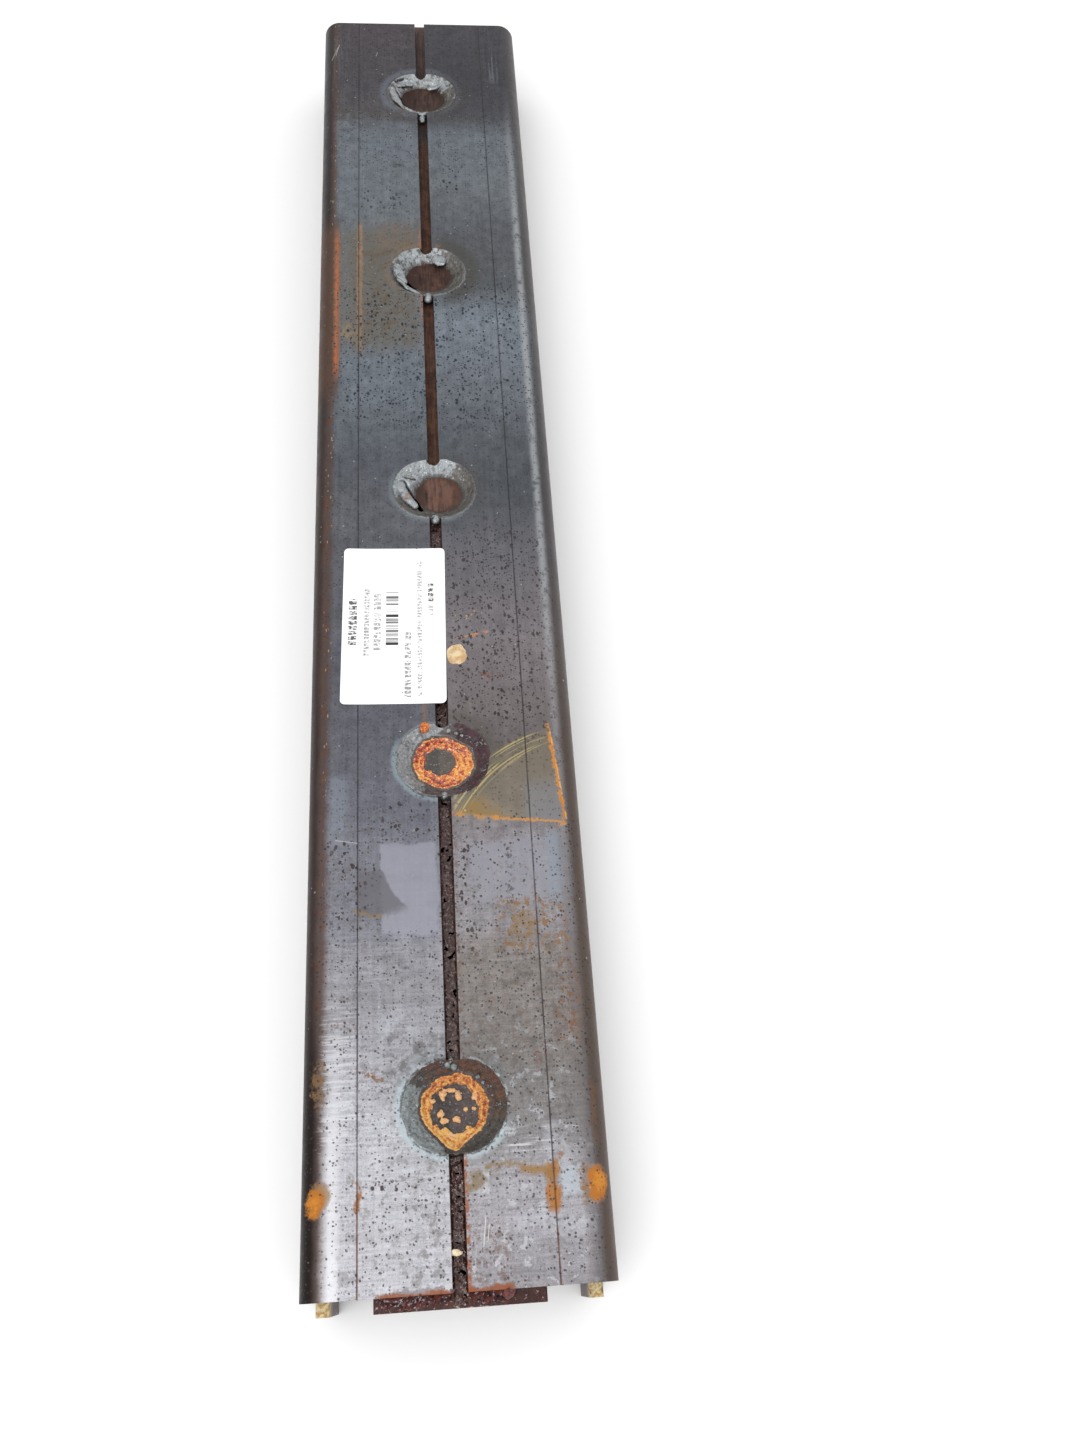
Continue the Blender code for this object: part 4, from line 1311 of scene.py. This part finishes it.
def make_blob(name, place, size, made_of, slot, seed, uneven):
    """A small lump: a fine sphere flattened to its size and made uneven."""
    shape = bmesh.new()
    bmesh.ops.create_icosphere(shape, subdivisions=4, radius=1.0)
    for vert in shape.verts:
        lump = 1 + uneven * cloud_at(vert.co.x + seed, vert.co.y, vert.co.z, 0.9)
        vert.co = Vector([c * lump * s for c, s in zip(vert.co, size)])
    bmesh.ops.translate(shape, verts=shape.verts, vec=place)
    add_piece(name, shape, made_of, slot)


def make_label(made_of):
    """The paper label, lying across the slot with its corners a little lifted."""
    half_x, half_y, corner, thick = LABEL_SIZE[0] / 2000, LABEL_SIZE[1] / 2000, 0.0028, 0.00016
    slot_x, lift = 0.0254, 0.0002  # the slot's place under the label, and its height over the plates
    columns, rows = 60, 100
    shape = bmesh.new()
    grid = []
    for i in range(columns + 1):
        grid.append([])
        for j in range(rows + 1):
            x, y = blend(-half_x, half_x, i / columns), blend(-half_y, half_y, j / rows)
            over_x, over_y = abs(x) - (half_x - corner), abs(y) - (half_y - corner)
            if over_x > 0 and over_y > 0:
                # The square corner is drawn in to a round one.
                reach = max(over_x, over_y) / math.hypot(over_x, over_y)
                x = math.copysign(half_x - corner + over_x * reach, x)
                y = math.copysign(half_y - corner + over_y * reach, y)
            wave = 0.00006 * cloud_at(x, y, 2.0, 0.03)
            dip = -0.00016 * smooth_step(HALF_SLOT - abs(x - slot_x), 0.0, 0.0022)
            curl = 0.0006 * smooth_step(math.hypot(x, y), 0.052, 0.060)
            grid[-1].append(shape.verts.new((x, y, lift + wave + dip + curl)))
    close_grid(shape, grid)
    back = bmesh.ops.extrude_face_region(shape, geom=list(shape.faces), use_keep_orig=True)
    moved = [item for item in back["geom"] if isinstance(item, bmesh.types.BMVert)]
    bmesh.ops.translate(shape, verts=moved, vec=(0, 0, -thick))
    label = add_piece("shipping_label", shape, made_of, "label_paper", ("label",), 40)
    low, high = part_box("label")
    label.location = ((low[0] + high[0]) / 2, (low[1] + high[1]) / 2, WEAR_Z)
    label.rotation_euler = (0.0, 0.0, LABEL_TURN)


def make_spatter(made_of):
    """Fine weld spatter stuck to the plates near the rings."""
    draw = random.Random(11)
    shape = bmesh.new()
    tries, nearest, farthest = 70, 0.026, 0.060  # from a ring's centre
    inner, outer, margin = 0.006, 0.058, 0.004  # the flat part of a plate
    for _ in range(tries):
        angle, reach = draw.uniform(0, 2 * math.pi), draw.uniform(nearest, farthest)
        y = draw.choice(RING_CENTRES) + reach * math.sin(angle)
        x = reach * math.cos(angle)
        if abs(x) > outer or abs(x) < inner or abs(y) > HALF_LENGTH - margin:
            continue
        radius = draw.uniform(0.0002, 0.00055)
        move = Matrix.Translation((x, y, WEAR_Z + radius * 0.3))
        bmesh.ops.create_icosphere(shape, subdivisions=2, radius=radius, matrix=move)
    bright = {"silver": [0.8] * len(shape.verts)}
    add_piece("weld_spatter", shape, made_of, "weld_metal", values=bright)


# ---------------------------------------------------------------- stage

def make_stage():
    """Pale floor, soft light and the camera."""
    shape = bmesh.new()
    bmesh.ops.create_grid(shape, x_segments=1, y_segments=1, size=FLOOR_SIZE)
    floor = plain_object("floor", shape)
    floor.data.materials.append(paint_floor())
    floor.location = (0.0, 0.0, -0.0001)

    world = bpy.data.worlds.new("studio")
    world.use_nodes = True
    background = world.node_tree.nodes["Background"]
    background.inputs["Color"].default_value = (1.0, 1.0, 1.0, 1.0)
    background.inputs["Strength"].default_value = 1.0
    bpy.context.scene.world = world

    light = bpy.data.lights.new("overhead", "AREA")
    light.shape, light.size, light.energy = "SQUARE", LAMP_SIZE, LAMP_WATTS
    lamp = link(bpy.data.objects.new("overhead", light))
    lamp.location = LAMP_PLACE
    lamp.rotation_euler = (Vector(LAMP_TARGET) - Vector(LAMP_PLACE)).to_track_quat("-Z", "Y").to_euler()

    camera = bpy.data.cameras.new("camera")
    camera.lens, camera.sensor_width = LENS_MM, SENSOR_MM
    camera.clip_start, camera.clip_end = 0.01, 100.0
    viewer = link(bpy.data.objects.new("camera", camera))
    viewer.location = CAMERA_PLACE
    viewer.rotation_euler = tuple(math.radians(angle) for angle in CAMERA_TURN)
    bpy.context.scene.camera = viewer
    bpy.context.scene.view_settings.view_transform = "Standard"


# ---------------------------------------------------------------- the shoe

# Melted gouges in the beads: two ends, half width and depth, their floors painted dark as shade. The
# crevice is on three of the rings.
CREVICE = ((-19.0, 6.0), (-8.5, -12.0), 2.2, 3.2)
RINGS = [
    RingWeld(1, (14.5, 13.0), (0.0, 0.0), 0.0, 200, -0.35, 1.0, (60, 0.72)),
    RingWeld(2, (14.5, 12.0), (0.0, 0.0), 1.2, 165, 0.05, 0.9, (0, 0.72)),
    RingWeld(3, (13.9, 12.6), (2.6, 0.2), 2.0, 120, 0.0, 1.0,
             gouges=(CREVICE, ((-18.0, 9.4), (-11.5, 9.8), 0.7, 0.9))),
    RingWeld(4, (15.0, 12.4), (1.0, 1.0), 2.4, 108, -0.1, 0.62, gouges=(CREVICE,)),
    RingWeld(5, (15.8, 12.4), (1.0, 1.4), 2.2, 98, 0.1, 0.7,
             gouges=(CREVICE, ((-19.0, 13.0), (-13.0, 17.4), 0.9, 2.4))),
]
# Lumps on the beads: a path of x, y, height and radius in millimetres, flatness, unevenness, brightness
# and perhaps a rust spot.
TAIL = ([(-19.5, -6.0, -1.6, 1.3), (-14.0, -13.2, -1.8, 1.4), (-6.0, -18.4, -2.2, 1.1)], 0.8, 0.15, 0.7)
LUMPS = {
    1: [([(-3.0, 19.2, -1.9, 1.7)], 0.8, 0.3, 0.9), ([(0.2, 18.4, -2.1, 1.7)], 0.8, 0.3, 1.0),
        ([(-1.2, 21.2, -2.1, 1.5)], 0.8, 0.3, 0.9), ([(11.5, 13.0, -3.2, 1.2)], 0.6, 0.4, 0.8),
        ([(14.0, 10.5, -3.2, 0.9)], 0.6, 0.4, 0.8)],
    2: [([(3.5, 17.6, -2.3, 1.5)], 0.7, 0.4, 1.0), ([(7.5, 16.0, -2.6, 1.3)], 0.7, 0.4, 0.9),
        ([(10.5, 14.6, -2.6, 1.0)], 0.7, 0.4, 0.9), ([(0.0, -20.6, -2.6, 2.3)], 0.8, 0.2, 0.55)],
    3: [([(-20.8, 4.4, -2.6, 3.3), (-20.2, 0.8, -2.6, 3.4), (-18.0, -3.4, -2.6, 3.2),
          (-15.0, -7.4, -2.8, 2.7), (-11.8, -11.2, -3.0, 1.9)], 0.76, 0.12, 1.0, (-16.0, -5.2, 4.0, 0.55)),
        ([(0.0, -20.6, -2.7, 2.4), (0.0, -22.0, -2.7, 2.5)], 0.85, 0.15, 1.0)],
    4: [([(-20.2, 5.2, -2.4, 3.3), (-19.8, 1.0, -2.4, 3.8), (-17.8, -3.4, -2.6, 3.5),
          (-15.4, -6.8, -3.0, 2.0)], 0.76, 0.14, 1.0), TAIL,
        ([(8.3, 13.0, -2.9, 5.1)], 0.38, 0.10, 0.75), ([(7.2, 14.3, -1.7, 2.9)], 0.36, 0.12, 1.0),
        ([(0.0, -20.8, -2.8, 2.6), (0.0, -23.2, -2.8, 2.7)], 0.88, 0.10, 1.0)],
    5: [([(-21.8, 6.4, -2.2, 2.6), (-21.2, 1.6, -2.4, 3.2), (-19.0, -3.6, -2.5, 2.9),
          (-15.6, -9.4, -2.9, 1.7)], 0.76, 0.16, 1.0), TAIL,
        ([(-22.2, 11.0, -1.4, 1.9)], 0.7, 0.2, 1.0),
        ([(6.0, 10.2, -4.4, 1.4), (10.5, 11.4, -3.9, 1.6), (15.4, 14.0, -2.9, 1.2)], 0.7, 0.2, 0.9),
        ([(-7.0, 13.6, -3.6, 1.3), (-12.0, 12.4, -3.0, 1.5), (-17.0, 10.6, -2.4, 1.2)], 0.7, 0.2, 0.8),
        ([(-3.2, -20.2, -1.6, 1.2), (0.0, -21.6, -1.8, 1.4), (3.4, -20.2, -1.6, 1.2)], 0.9, 0.15, 1.0),
        ([(0.0, -24.0, -2.9, 2.3), (0.0, -26.2, -3.2, 2.1)], 0.88, 0.15, 0.9),
        ([(-8.0, -13.8, -5.0, 0.8)], 0.8, 0.2, 1.0), ([(-5.2, -14.6, -5.0, 0.9)], 0.8, 0.2, 1.0)],
}
# Lumps on the floor of the first crust: middle, half width, half length and height.
TAN_BLOBS = [
    (-5.5, 6.2, 2.0, 2.7, 1.1), (-2.0, 8.0, 3.2, 1.3, 1.0), (2.0, 5.4, 1.7, 2.9, 1.2),
    (-10.4, 3.2, 1.3, 1.4, 0.9), (-6.8, -2.6, 1.8, 2.4, 1.1), (-5.2, -6.0, 2.3, 1.7, 0.9),
    (1.0, -5.6, 2.2, 2.1, 1.3), (5.4, -1.2, 1.1, 1.1, 0.7), (9.2, -1.0, 1.0, 0.9, 0.7),
    (9.6, 4.4, 1.5, 2.2, 0.8), (-1.8, -12.6, 2.2, 1.2, 0.8),
]
TAN_STOPS = [(0.15, (128, 62, 30)), (0.38, (186, 98, 40)), (0.55, (206, 132, 56)), (0.75, (226, 176, 98))]
RED_STOPS = [(0.15, (112, 28, 22)), (0.36, (168, 54, 28)), (0.52, (214, 104, 36)), (0.75, (240, 168, 70))]
TAN_WARM = ((-12, RING_FIRST_MM - 8, 11), (3, RING_FIRST_MM - 15, 11))
RED_WARM = ((12, RING_FIRST_MM + RING_PITCH_MM - 3, 9), (-14, RING_FIRST_MM + RING_PITCH_MM - 7, 6))
# Small drops: material with its light and dark tones, cloud size and roughness, then place, half sizes,
# slot, seed and unevenness.
DROPS = {
    "melt_drop": (("wet_rust", (110, 44, 36), (62, 22, 22), 2.0, 0.3),
                  (0.0212, -HALF_LENGTH - 0.0008, WEAR_Z - 0.0018), (0.0030, 0.0030, 0.0022),
                  "rusted_weld", 1.0, 0.25),
    "glue_drop": (("dried_glue", (226, 214, 186), (198, 178, 140), 3.0, 0.45),
                  (-0.0016, -HALF_LENGTH + 0.0162, WEAR_Z - 0.0009), (0.0027, 0.0013, 0.0009),
                  "wear_plate", 2.0, 0.25),
    "rust_drop": (("rust_drop", (228, 132, 46), (150, 66, 30), 1.2, 0.35),
                  (-0.0098, RING_CENTRES[1] + 0.0192, WEAR_Z - 0.0003), (0.0027, 0.0024, 0.0013),
                  "rusted_weld", 5.0, 0.5),
    "paint_fleck": (("paint_fleck", (216, 196, 158), (188, 150, 104), 4.0, 0.5),
                    (0.0096, -HALF_LENGTH + 0.3228, WEAR_Z), (0.0056, 0.0063, 0.00022),
                    "wear_plate", 3.0, 0.14),
}
END_BEADS = {"left": (-0.0365, -0.0040), "right": (0.0040, 0.0245)}  # from and to, across the shoe
STITCHES = 6


def make_rings(silver):
    brown = paint_weld("rusted_weld_metal", (160, 168, 170), (104, 102, 98), (112, 80, 66), (92, 50, 38))
    purple = paint_weld("purple_weld_metal", (172, 174, 176), (126, 120, 122), (84, 56, 62), (98, 46, 40))
    metals = {1: brown, 2: purple}
    for weld in RINGS:
        slot = "rusted_weld" if weld.number in metals else "weld_metal"
        make_ring(weld, LUMPS[weld.number], metals.get(weld.number, silver), slot)
    tan_crust = paint_crust("rust_crust_1", TAN_STOPS, ((52, 42, 40), (84, 72, 68)), (238, 200, 140),
                            0.25, TAN_WARM)
    red_crust = paint_crust("rust_crust_2", RED_STOPS, ((62, 52, 46), (92, 80, 68)), (250, 226, 196),
                            0.8, RED_WARM)
    make_crust(RINGS[0], (11.6, 11.4), (16.6, 15.8), (0.4, -0.6), 4.6, TAN_BLOBS, tan_crust)
    make_crust(RINGS[1], (8.2, 8.0), (16.6, 14.8), (-2.0, 1.0), 1.2, [], red_crust)


def make_straight_beads():
    """Beads along the plates' ends, and short ones between the side bars and the legs."""
    dark = paint_weld("scaled_weld_metal", (190, 172, 180), (66, 36, 34), (104, 46, 36), (58, 32, 28))
    for name, (start, end) in END_BEADS.items():
        for at, y, leg, turn, rough in (("near", -HALF_LENGTH, 0.0062, 0.0, 2.2),
                                        ("far", HALF_LENGTH, 0.0056, math.pi, 1.2)):
            make_bead(f"end_bead_{at}_{name}", f"end_weld_{at}_{name}", end - start, leg,
                      ((start + end) / 2, y, BAR_TOP), turn, dark, rough)
    for name, side in SIDES.items():
        bar_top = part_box(f"side_bar_{name}")[1][2]
        for i in range(1, STITCHES + 1):
            low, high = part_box(f"stitch_weld_{name}_{i}")
            place = (side * (HALF_WIDTH - PLATE), (low[1] + high[1]) / 2, bar_top)
            make_bead(f"stitch_bead_{name}_{i}", f"stitch_weld_{name}_{i}", high[1] - low[1], 0.005,
                      place, -side * math.pi / 2, dark)


def main():
    make_stage()
    steel = paint_bars()
    silver = paint_weld("weld_metal", (186, 192, 196), (134, 131, 126), (164, 112, 62), (70, 58, 52))
    make_plates()
    make_bar("backing_strap", "backing_bar", steel, 0.0009)
    for name in SIDES:
        make_bar(f"side_strap_{name}", f"side_bar_{name}", steel, 0.0007)
    make_rings(silver)
    make_straight_beads()
    make_slot_deposits(paint_deposit())
    for name, (finish, place, size, slot, seed, uneven) in DROPS.items():
        make_blob(name, place, size, paint_plain(*finish), slot, seed, uneven)
    make_spatter(silver)
    make_label(paint_label())


main()
